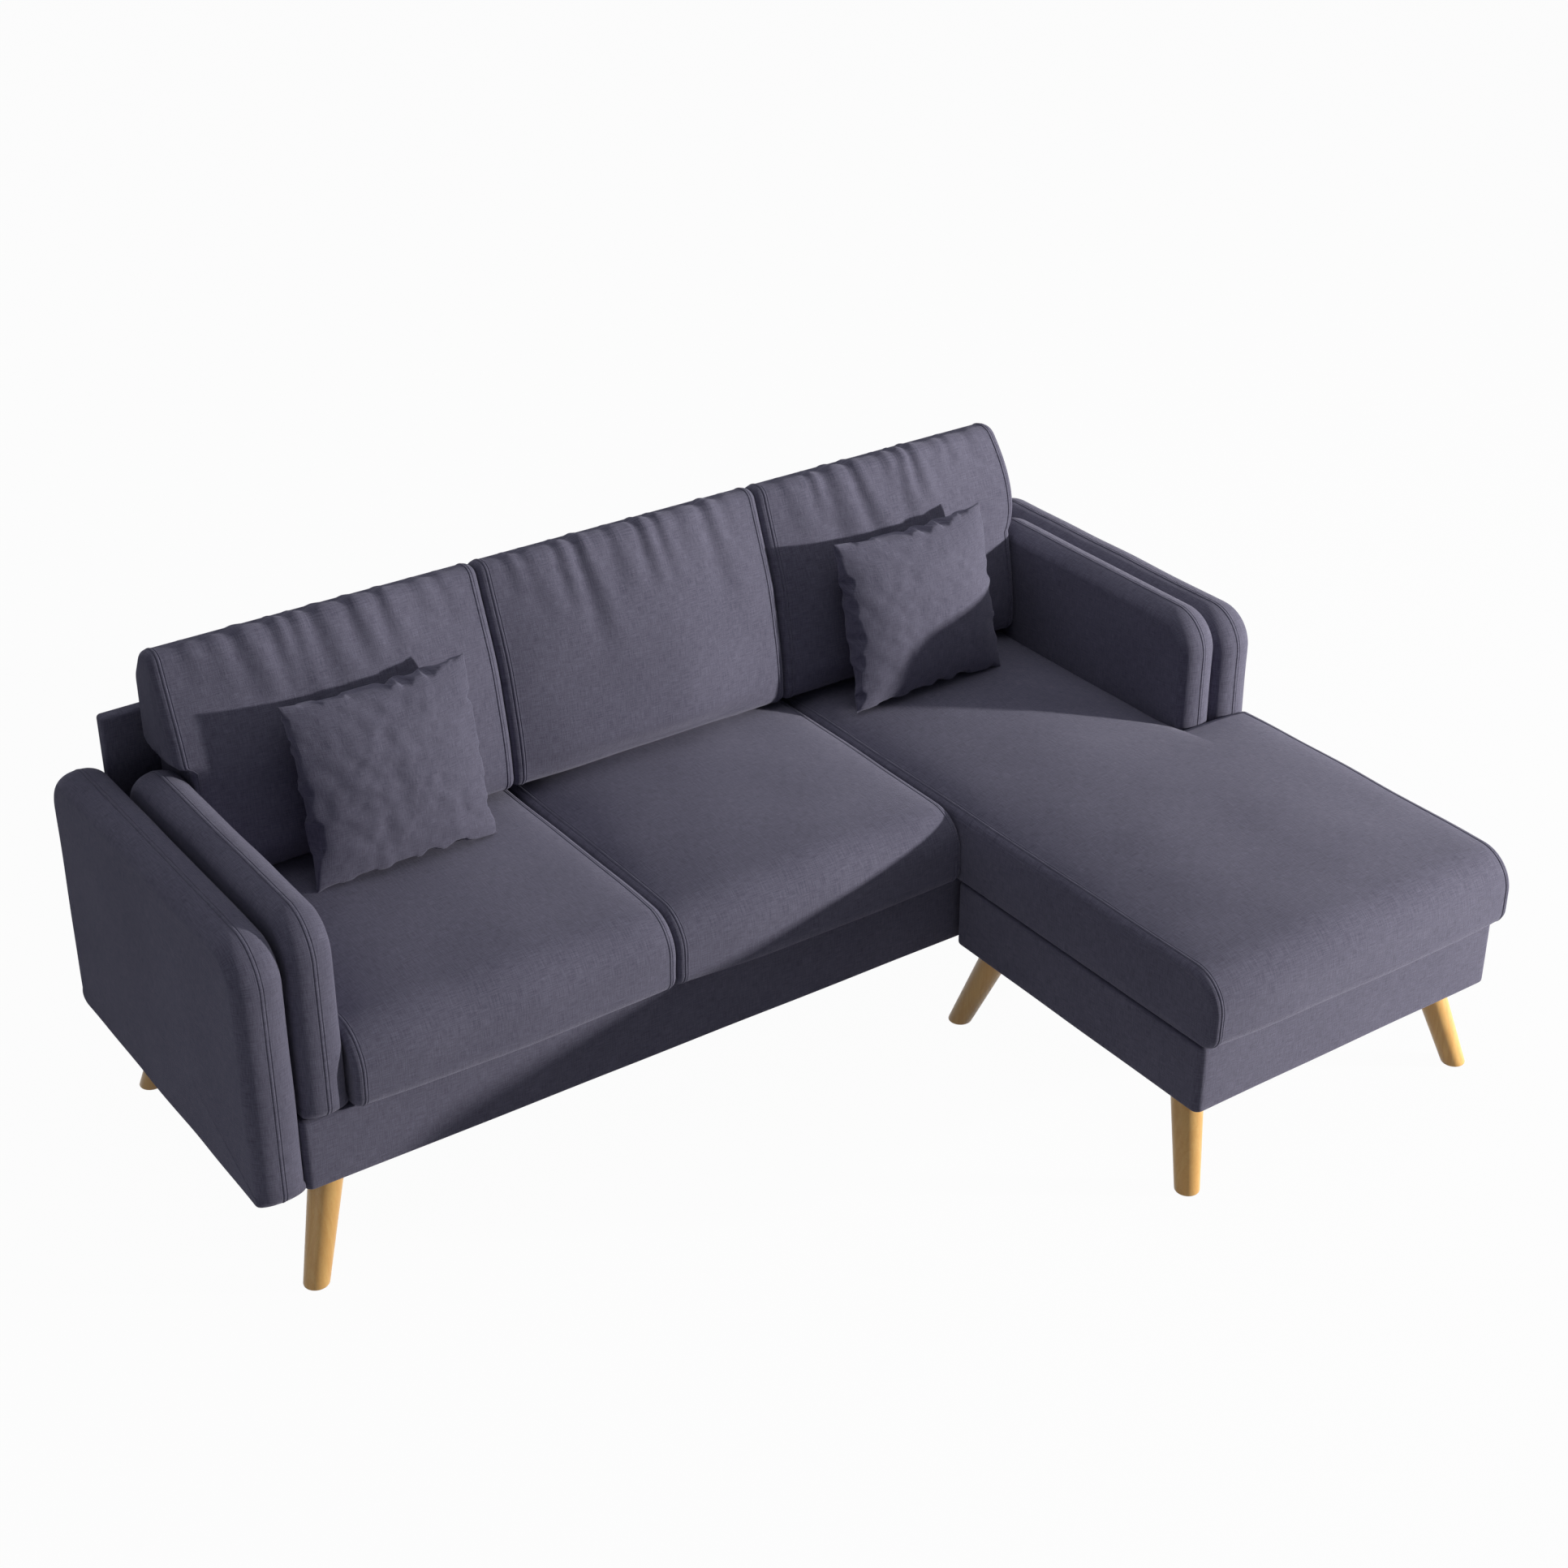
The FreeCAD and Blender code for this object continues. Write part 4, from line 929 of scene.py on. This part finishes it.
@dataclass
class SeatCushion:
    """A boxed seat cushion: one strip of cloth over top, nose and bottom, and two D-shaped side panels."""

    name: str
    body: str
    nodes: tuple[str, ...]
    seed: float
    notch_box: Optional[str] = None
    crown: float = 21 * MM
    roll: Roll = Roll(9 * MM, 20 * MM, 14 * MM, 90 * MM, 26 * MM)
    edge: float = 10 * MM
    gap: float = 0.6 * MM
    seam_inset: float = 4 * MM
    nose_radius: float = 66 * MM
    foot_radius: float = 30 * MM
    rear_radius: float = 24 * MM

    def build(self, dresser: Dresser) -> None:
        """Make the cushion, its seams and its stitches."""
        low, high = node_box(self.nodes[0])
        side_top = high[2] - self.crown
        corners = [(low[1], low[2]), (high[1], low[2]), (high[1], side_top), (low[1], side_top)]
        radii = [self.foot_radius, 14 * MM, self.rear_radius, self.nose_radius]
        profile = rounded_profile(corners, radii, 9 * MM, 7.0)
        width = high[0] - low[0] - 2 * self.gap
        section = rim_section(width, self.edge, self.edge)
        inset = self.edge * math.pi / 2 + self.seam_inset
        seams = [Seam(distance, 2.6 * MM) for distance in (inset, section_length(section) - inset)]
        notch, stop = self._notch() if self.notch_box else (None, 0.0)
        form = Form(profile, section, (low[0] + high[0]) / 2, seams=seams, crown=(5 * MM, 5 * MM),
                    notch=notch, notch_stop=stop)
        form.swell(self._fullness(form, low, high))
        form.swell(self._front_seam(form, low))
        form.sew()
        piece = form.build(self.name)
        dresser.finish(piece, "upholstery", self.body, *self.nodes)
        dresser.sew(self.name, self.body, form.stitch_paths(seams if notch is None else seams[:1]))

    def _notch(self) -> tuple[float, float]:
        """Find where the cushion steps back beside the arm: its place in X, and where it ends in Y."""
        arm_low = node_box(self.notch_box)[0]
        return float(arm_low[0] - 2 * MM), float(arm_low[1] - 4 * MM)

    def _fullness(self, form: Form, low: np.ndarray, high: np.ndarray) -> np.ndarray:
        """Work out how far the filling raises the cloth.

        Args:
            form: The cushion's form.
            low: Lowest corner of its space.
            high: Highest corner of its space.

        Returns:
            Height at each point.
        """
        rings = form.rings()
        sides = self.roll.height(rings[:, :, 0], low[0], high[0])
        if form.notch is not None:
            share = smooth_step(form.notch_stop - 0.12, form.notch_stop + 0.1, rings[:, :, 1])
            sides = sides * (1 - share) + self.roll.height(rings[:, :, 0], low[0], form.notch) * share
        length, centre = (high[1] - low[1]) / 2, (high[1] + low[1]) / 2
        ends = 1 - 0.45 * np.abs((rings[:, :, 1] - centre) / length) ** 4
        upward, forward = np.clip(form.outward[:, :, 1], 0, 1), np.clip(-form.outward[:, :, 0], 0, 1)
        fullness = sides * (upward * ends + 0.3 * forward)
        wander = ripple(rings, 0.16, self.seed) * 1.3 * MM * np.clip(upward + forward, 0, 1)
        return (fullness + wander * (form.scale == 1)[:, None]) * 0.97

    def _front_seam(self, form: Form, low: np.ndarray) -> np.ndarray:
        """Press the fine seam that joins the nose to the bottom cloth."""
        height = form.flat[:, :, 1] - (low[2] + 34 * MM)
        on_front = (form.outward[:, :, 0] < -0.3) & (form.scale == 1)[:, None]
        return np.where(on_front, -1.2 * MM * np.exp(-(height / (2.4 * MM)) ** 2), 0)


@dataclass
class Pleat:
    """One fold that runs down from the top of a back cushion."""

    place: float
    depth: float
    width: float
    drop: float
    lean: float

    def height(self, across: np.ndarray, down: np.ndarray) -> np.ndarray:
        """Height of the cloth near the fold."""
        line = across - self.place - self.lean * down
        spread = self.width * (1 + 1.4 * np.clip(down / self.drop, 0, 1))
        valley = -np.exp(-(line / spread) ** 2)
        ridge = 0.75 * np.exp(-((line - 1.7 * spread) / (1.25 * spread)) ** 2)
        fade = smooth_step(-0.07, -0.015, down) * (1 - smooth_step(0.35 * self.drop, self.drop, down))
        return self.depth * (valley + ridge) * fade


@dataclass
class BackCushion:
    """A back cushion: full front, folds gathered into its top, boxed sides with a topstitched edge."""

    name: str
    body: str
    nodes: tuple[str, ...]
    seed: int
    roll: Roll = Roll(12 * MM, 38 * MM, 14 * MM, 165 * MM, 40 * MM)
    edge: float = 11 * MM
    seam_inset: float = 4 * MM
    gap: float = 0.8 * MM
    ledge_node: Optional[str] = None
    free_side: Optional[str] = None
    side_swell: float = 28 * MM
    tuck_reach: float = 45 * MM
    top_drop: float = 5 * MM

    def build(self, dresser: Dresser) -> None:
        """Make the cushion, its folds, its seams and its stitches."""
        low, high = node_box(self.nodes[0])
        rear, top = high[1], high[2] - self.top_drop
        corners = [(rear - distance, height) for distance, height in (
            (0.172, low[2]), (0.0, low[2]), (0.0, top - 0.058), (0.033, top), (0.072, top),
            (0.135, top - 0.162), (0.161, top - 0.287))]
        profile = rounded_profile(corners, [0.024, 0.016, 0.045, 0.040, 0.022, 0.4, 0.6], 7 * MM, 7.0)
        width = high[0] - low[0] - 2 * self.gap
        section = rim_section(width, self.edge, self.edge)
        inset = self.edge * math.pi / 2 + self.seam_inset
        seams = [Seam(distance, 2.8 * MM, groove=1.7 * MM, ridge=1.3 * MM)
                 for distance in (inset, section_length(section) - inset)]
        form = Form(profile, section, (low[0] + high[0]) / 2, seams=seams, pitch=5 * MM,
                    crown=(4 * MM, 4 * MM))
        form.swell(self._fullness(form, low, high))
        form.sew()
        piece = form.build(self.name)
        if self.ledge_node:
            self._tuck(piece, low)
        if self.free_side:
            self._ease_out(piece, high)
        dresser.finish(piece, "upholstery", self.body, *self.nodes)
        if not self.ledge_node:
            dresser.sew(self.name, self.body, form.stitch_paths(seams))

    def _fullness(self, form: Form, low: np.ndarray, high: np.ndarray) -> np.ndarray:
        """Work out how far the filling and the folds raise the cloth.

        Args:
            form: The cushion's form.
            low: Lowest corner of its space.
            high: Highest corner of its space.

        Returns:
            Height at each point.
        """
        rings = form.rings()
        half, middle = (high[0] - low[0]) / 2, (high[0] + low[0]) / 2
        across = rings[:, :, 0] - middle
        sides = np.clip(1 - np.abs(across / half) ** 3.2, 0, 1)
        forward, upward = np.clip(-form.outward[:, :, 0], 0, 1), np.clip(form.outward[:, :, 1], 0, 1)
        height = (rings[:, :, 2] - low[2]) / (high[2] - low[2])
        belly = smooth_step(0.0, 0.16, height) * (1 - 0.35 * smooth_step(0.62, 1.0, height))
        fullness = self.roll.height(rings[:, :, 0], low[0], high[0]) * forward * belly
        top = high[2] - 14 * MM
        down = np.where(forward > 0.3, top - rings[:, :, 2], -0.03 * upward)
        folds = np.zeros_like(across)
        for pleat in self._pleats(half):
            folds = folds + pleat.height(across, down)
        gathered = smooth_step(0.02, 0.3, forward + upward * 0.8) * (form.outward[:, :, 0] < 0.3)
        folds = folds * gathered * smooth_step(0.0, 0.07, half - np.abs(across))
        wander = ripple(rings, 0.13, self.seed) * 1.6 * MM * forward * sides
        return (fullness + folds + wander) * (form.scale == 1)[:, None]

    def _pleats(self, half: float) -> list[Pleat]:
        """Scatter the folds: some strong, some faint, unevenly spaced.

        Args:
            half: Half the width of the cushion.

        Returns:
            The folds.
        """
        chance = np.random.default_rng(self.seed)
        pleats, place = [], -half + 0.045
        while place < half - 0.045:
            strong = chance.random() < 0.55
            depth = chance.uniform(*((2.6, 5.0) if strong else (1.5, 3))) * MM
            width = chance.uniform(8, 14) * MM
            drop = chance.uniform(*((0.1, 0.22) if strong else (0.07, 0.14)))
            pleats.append(Pleat(place, depth, width, drop, chance.uniform(-0.05, 0.16)))
            place += chance.uniform(0.03, 0.066)
        return pleats

    def _tuck(self, piece: bpy.types.Object, low: np.ndarray) -> None:
        """Draw the side in below the arm pad's top, where the pad presses on it.

        Args:
            piece: The cushion.
            low: Lowest corner of its space.
        """
        pad_high = node_box(self.ledge_node)[1]
        wall = pad_high[0] + 2.5 * MM
        points = read_points(piece)
        under = 1 - smooth_step(pad_high[2], pad_high[2] + 12 * MM, points[:, 2])
        points[:, 0] += (wall - low[0]) * under * np.clip(1 - (points[:, 0] - low[0]) / self.tuck_reach, 0, 1)
        write_points(piece, points)

    def _ease_out(self, piece: bpy.types.Object, high: np.ndarray) -> None:
        """Let the side swell out above the arm pad, where nothing presses on it.

        Args:
            piece: The cushion.
            high: Highest corner of its space.
        """
        pad_high = node_box(self.free_side)[1]
        points = read_points(piece)
        share = (points[:, 2] - pad_high[2]) / (high[2] - pad_high[2])
        swell = np.sin(np.clip(share, 0, 1) * math.pi) ** 0.7 * (1 - 0.4 * share)
        near = smooth_step(0.12, 0.0, high[0] - points[:, 0])
        points[:, 0] += self.side_swell * swell * near
        write_points(piece, points)


@dataclass
class ThrowPillow:
    """A soft square pillow: two squares of cloth sewn at the edge and blown up by simulation."""

    name: str
    body: str
    nodes: tuple[str, ...]
    seed: float
    lean: float = 14.7
    depth: float = 118 * MM
    height: float = 322 * MM
    half_wide: float = 170 * MM
    half_tall: float = 161 * MM
    sag: float = 13 * MM
    crease_share: float = 0.15
    calm_steps: int = 14
    across: int = 72
    tall: int = 68

    def build(self, dresser: Dresser) -> None:
        """Make the pillow and lean it where its node is."""
        low, high = node_box(self.nodes[0])
        piece = self._sheets()
        self._shape(piece)
        self._inflate(piece)
        points = read_points(piece)
        points -= (points.min(axis=0) + points.max(axis=0)) / 2
        points *= np.array([high[0] - low[0], self.depth, self.height]) / np.ptp(points, axis=0)
        turn = np.array(Matrix.Rotation(math.radians(-self.lean), 3, "X"))
        points = points @ turn.T + (low + high) / 2
        points[:, 2] += low[2] - points[:, 2].min()
        write_points(piece, points)
        subdivide(piece)
        dresser.finish(piece, "upholstery", self.body, *self.nodes)

    def _spot(self, a: float, b: float, side: int) -> tuple[float, float, float]:
        """Place a point of a sheet.

        Args:
            a: Place across the pillow, -1 to 1.
            b: Place up the pillow, -1 to 1.
            side: Front sheet -1, rear sheet 1, edge 0.

        Returns:
            The point, with the sides drawn in a little between the corners.
        """
        pucker = 0.0022 * noise.noise(Vector((a * 7 + self.seed, b * 7, 0.5))) * (1 - a * a * b * b)
        bulge = side * 0.015 * (1 - a ** 4) * (1 - b ** 4)
        return (a * (self.half_wide - self.sag * (1 - b * b) ** 0.8) + 0.4 * pucker, bulge + 2.4 * pucker,
                b * (self.half_tall - self.sag * (1 - a * a) ** 0.8) + 0.4 * pucker)

    def _sheets(self) -> bpy.types.Object:
        """Lay two sheets edge to edge.

        Returns:
            The flat pillow, with a cloth map.
        """
        draft = bmesh.new()
        layer = draft.loops.layers.uv.new("cloth")
        grids: list[dict] = []
        for side in (-1, 1):
            grid = {}
            for i in range(self.across + 1):
                for j in range(self.tall + 1):
                    edge = i in (0, self.across) or j in (0, self.tall)
                    if side == 1 and edge:
                        grid[i, j] = grids[0][i, j]
                        continue
                    a, b = 2 * i / self.across - 1, 2 * j / self.tall - 1
                    grid[i, j] = draft.verts.new(self._spot(a, b, 0 if edge else side))
            grids.append(grid)
            for i in range(self.across):
                for j in range(self.tall):
                    corners = [(i, j), (i + 1, j), (i + 1, j + 1), (i, j + 1)]
                    if side == 1:
                        corners.reverse()
                    face = draft.faces.new([grid[corner] for corner in corners])
                    for loop, corner in zip(face.loops, corners):
                        loop[layer].uv = (corner[0] / self.across * 0.37 + side, corner[1] / self.tall * 0.35)
        mesh = bpy.data.meshes.new(self.name)
        bmesh.ops.recalc_face_normals(draft, faces=draft.faces)
        draft.verts.index_update()
        draft.to_mesh(mesh)
        draft.free()
        mesh.polygons.foreach_set("use_smooth", [True] * len(mesh.polygons))
        return new_object(self.name, mesh)

    def _shape(self, piece: bpy.types.Object) -> None:
        """Give the pillow its plain fullness."""
        for vertex in piece.data.vertices:
            a, b = vertex.co.x / self.half_wide, vertex.co.z / self.half_tall
            full = max(0.0, (1 - a * a) * (1 - b * b)) ** 0.5
            vertex.co.y = vertex.co.y * 0.4 + math.copysign(0.056 * full, vertex.co.y)

    def _inflate(self, piece: bpy.types.Object) -> None:
        """Fill the pillow: let pressure push the two sheets apart, then calm the creases."""
        plain = read_points(piece)
        cloth = piece.modifiers.new("filling", "CLOTH")
        settings = cloth.settings
        settings.quality = 6
        settings.mass = 0.25
        settings.tension_stiffness = settings.compression_stiffness = 12
        settings.shear_stiffness = 4
        settings.bending_stiffness = 2.5
        settings.shrink_min = 0.0
        settings.use_pressure = True
        settings.uniform_pressure_force = 4
        settings.effector_weights.gravity = 0
        apply_frames(piece, cloth, 20)
        change = read_points(piece) - plain
        ends = np.array([edge.vertices for edge in piece.data.edges])
        links = np.concatenate([ends, ends[:, ::-1]])
        count = np.bincount(links[:, 0])[:, None]
        for _ in range(self.calm_steps):
            near = np.zeros_like(change)
            np.add.at(near, links[:, 0], change[links[:, 1]])
            change = (change + near / count) / 2
        write_points(piece, plain + self.crease_share * change)


def apply_frames(piece: bpy.types.Object, modifier: bpy.types.Modifier, last: int) -> None:
    """Step a simulation and keep its last frame as the mesh.

    Args:
        piece: Piece that carries the modifier.
        modifier: The simulation.
        last: Last frame.
    """
    scene = bpy.context.scene
    modifier.point_cache.frame_start, modifier.point_cache.frame_end = 1, last
    for number in range(1, last + 1):
        scene.frame_set(number)
    graph = bpy.context.evaluated_depsgraph_get()
    moved = piece.evaluated_get(graph).to_mesh()
    points = np.zeros(len(moved.vertices) * 3, np.float32)
    moved.vertices.foreach_get("co", points)
    piece.evaluated_get(graph).to_mesh_clear()
    piece.modifiers.remove(modifier)
    piece.data.vertices.foreach_set("co", points)
    piece.data.update()
    scene.frame_set(1)


def subdivide(piece: bpy.types.Object) -> None:
    """Smooth a piece once with a subdivision surface and keep the result."""
    layer = piece.modifiers.new("smooth", "SUBSURF")
    layer.levels = layer.render_levels = 1
    graph = bpy.context.evaluated_depsgraph_get()
    result = bpy.data.meshes.new_from_object(piece.evaluated_get(graph), depsgraph=graph)
    piece.modifiers.remove(layer)
    old, piece.data = piece.data, result
    bpy.data.meshes.remove(old)


# Studio


@dataclass
class Studio:
    """Camera, floor, background and soft lamps."""

    lens: float = 60.0
    turn: float = 35.0
    tilt: float = 29.4
    place: tuple[float, float, float] = (-2.1474, -3.0442, 2.680)

    def build(self) -> None:
        """Set up the studio."""
        scene = bpy.context.scene
        scene.view_settings.view_transform = "Standard"
        camera = new_object("camera", bpy.data.cameras.new("camera"))
        camera.data.lens, camera.data.sensor_width = self.lens, 36.0
        camera.location = self.place
        camera.rotation_euler = (math.radians(90 - self.tilt), 0, math.radians(-self.turn))
        scene.camera = camera
        self._floor()
        self._world()
        self._lamps()

    def _floor(self) -> None:
        """Lay a pale floor that shows white with a faint shadow."""
        mesh = bpy.data.meshes.new("floor")
        size = 30.0
        mesh.from_pydata([(-size, -size, 0), (size, -size, 0), (size, size, 0), (-size, size, 0)], [],
                         [(0, 1, 2, 3)])
        floor = new_object("floor", mesh)
        material = bpy.data.materials.new("pale_floor")
        material.use_nodes = True
        tree = material.node_tree
        tree.nodes.clear()
        graph = Graph(tree)
        diffuse = graph.add("ShaderNodeBsdfDiffuse", {"Color": (0.5, 0.5, 0.51, 1)})
        white = graph.add("ShaderNodeEmission", {"Color": (1, 1, 1, 1), "Strength": 1.0})
        share = graph.math("MULTIPLY", self._plain_rays(graph), 0.97)
        mixed = graph.add("ShaderNodeMixShader", {0: share, 1: diffuse.outputs[0], 2: white.outputs[0]})
        output = graph.add("ShaderNodeOutputMaterial")
        tree.links.new(mixed.outputs[0], output.inputs[0])
        mesh.materials.append(material)

    def _plain_rays(self, graph: Graph) -> bpy.types.NodeSocket:
        """Give 1 for the rays that see the white backdrop: from the camera, a gloss or a glass."""
        path = graph.add("ShaderNodeLightPath").outputs
        seen = graph.math("MAXIMUM", path["Is Camera Ray"], path["Is Glossy Ray"])
        return graph.math("MAXIMUM", seen, path["Is Transmission Ray"])

    def _world(self) -> None:
        """Give a white background and a soft even surrounding light."""
        world = bpy.data.worlds.new("studio")
        bpy.context.scene.world = world
        world.use_nodes = True
        tree = world.node_tree
        tree.nodes.clear()
        graph = Graph(tree)
        around = graph.add("ShaderNodeBackground", {"Color": (0.74, 0.78, 1.0, 1), "Strength": 0.085})
        white = graph.add("ShaderNodeBackground", {"Color": (1, 1, 1, 1), "Strength": 1.0})
        mixed = graph.add("ShaderNodeMixShader", {0: self._plain_rays(graph), 1: around.outputs[0],
                                                  2: white.outputs[0]})
        output = graph.add("ShaderNodeOutputWorld")
        tree.links.new(mixed.outputs[0], output.inputs[0])

    def _lamps(self) -> None:
        """Hang the key lamp low at the right front, and wide soft lamps for the shade."""
        self._softbox("key", (4.29, -2.98, 1.29), 0.2, 282.0, (1.0, 0.985, 0.955))
        self._softbox("left_fill", (-2.6, -0.5, 0.45), 1.0, 3.0, (0.95, 0.97, 1.0))
        self._softbox("overhead", (0.5, 0.3, 4.2), 3.6, 39.0, (0.97, 0.98, 1.0))
        self._softbox("side_box", (4.2, -1.9, 2.4), 3.0, 12.0, (1.0, 0.99, 0.97))

    def _softbox(self, name: str, place: tuple[float, float, float], size: float, power: float,
                 colour: tuple[float, float, float]) -> None:
        """Hang a square area lamp that faces the sofa.

        Args:
            name: Name of the lamp.
            place: Where it hangs, in metres.
            size: Side of its square.
            power: Power in watts.
            colour: Its colour.
        """
        light = bpy.data.lights.new(name, "AREA")
        light.energy, light.size, light.color = power, size, colour
        lamp = new_object(name, light)
        lamp.location = place
        towards = Vector((0.0, 0.0, 0.4)) - Vector(place)
        lamp.rotation_euler = towards.to_track_quat("-Z", "Y").to_euler()


def build_sofa(dresser: Dresser) -> None:
    """Build every piece in order.

    Args:
        dresser: Holder of the finishes.
    """
    for node in frame["nodes"]:
        if node.endswith("_leg"):
            Leg(node, "ottoman" if node.startswith("ottoman") else "frame").build(dresser)
    BaseBox("main_base", "frame", ("main_base_cover", "main_deck_pad"), seed=1.0).build(dresser)
    BaseBox("ottoman_base", "ottoman", ("ottoman_base_cover", "ottoman_deck_pad"), seed=2.0).build(dresser)
    BackPanel().build(dresser)
    for side, sign in (("left", -1), ("right", 1)):
        for kind, top_radius, foot_radius, seed in (("_arm", 76 * MM, 40 * MM, 3.0),
                                                    ("_pad", 75 * MM, 38 * MM, 6.0)):
            name = side + kind
            ArmSlab(name, sign, top_radius, foot_radius, (name + "_cover", name + "_padding"),
                    seed=seed + sign).build(dresser)
    for name, seed, notch_box in (("seat_left", 11.0, None), ("seat_middle", 12.0, None),
                                  ("seat_chaise", 13.0, "right_pad_cover")):
        SeatCushion(name, name, (name + "_cover", name + "_core"), seed, notch_box=notch_box).build(dresser)
    for side, seed in (("left", 4), ("middle", 15), ("right", 9)):
        node = "back_%s_cushion" % side
        BackCushion("back_" + side, "back_" + side, (node + "_cover", node + "_core"), seed,
                    ledge_node="left_pad_cover" if side == "left" else None,
                    free_side="right_pad_cover" if side == "right" else None).build(dresser)
    for side, seed in (("left", 21.0), ("right", 22.0)):
        node = "pillow_" + side
        ThrowPillow(node, node, (node + "_cover", node + "_insert"), seed).build(dresser)


def corners(box: tuple) -> list[list[float]]:
    """Turn a box into plain lists of numbers."""
    return [[round(float(number), 5) for number in corner] for corner in box]


def main() -> None:
    """Build the whole scene."""
    logging.basicConfig(level=logging.INFO, format="%(name)s: %(message)s")
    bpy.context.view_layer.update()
    Studio().build()
    dresser = Dresser()
    dresser.dress_nodes()
    build_sofa(dresser)


if __name__ == "__main__":
    main()
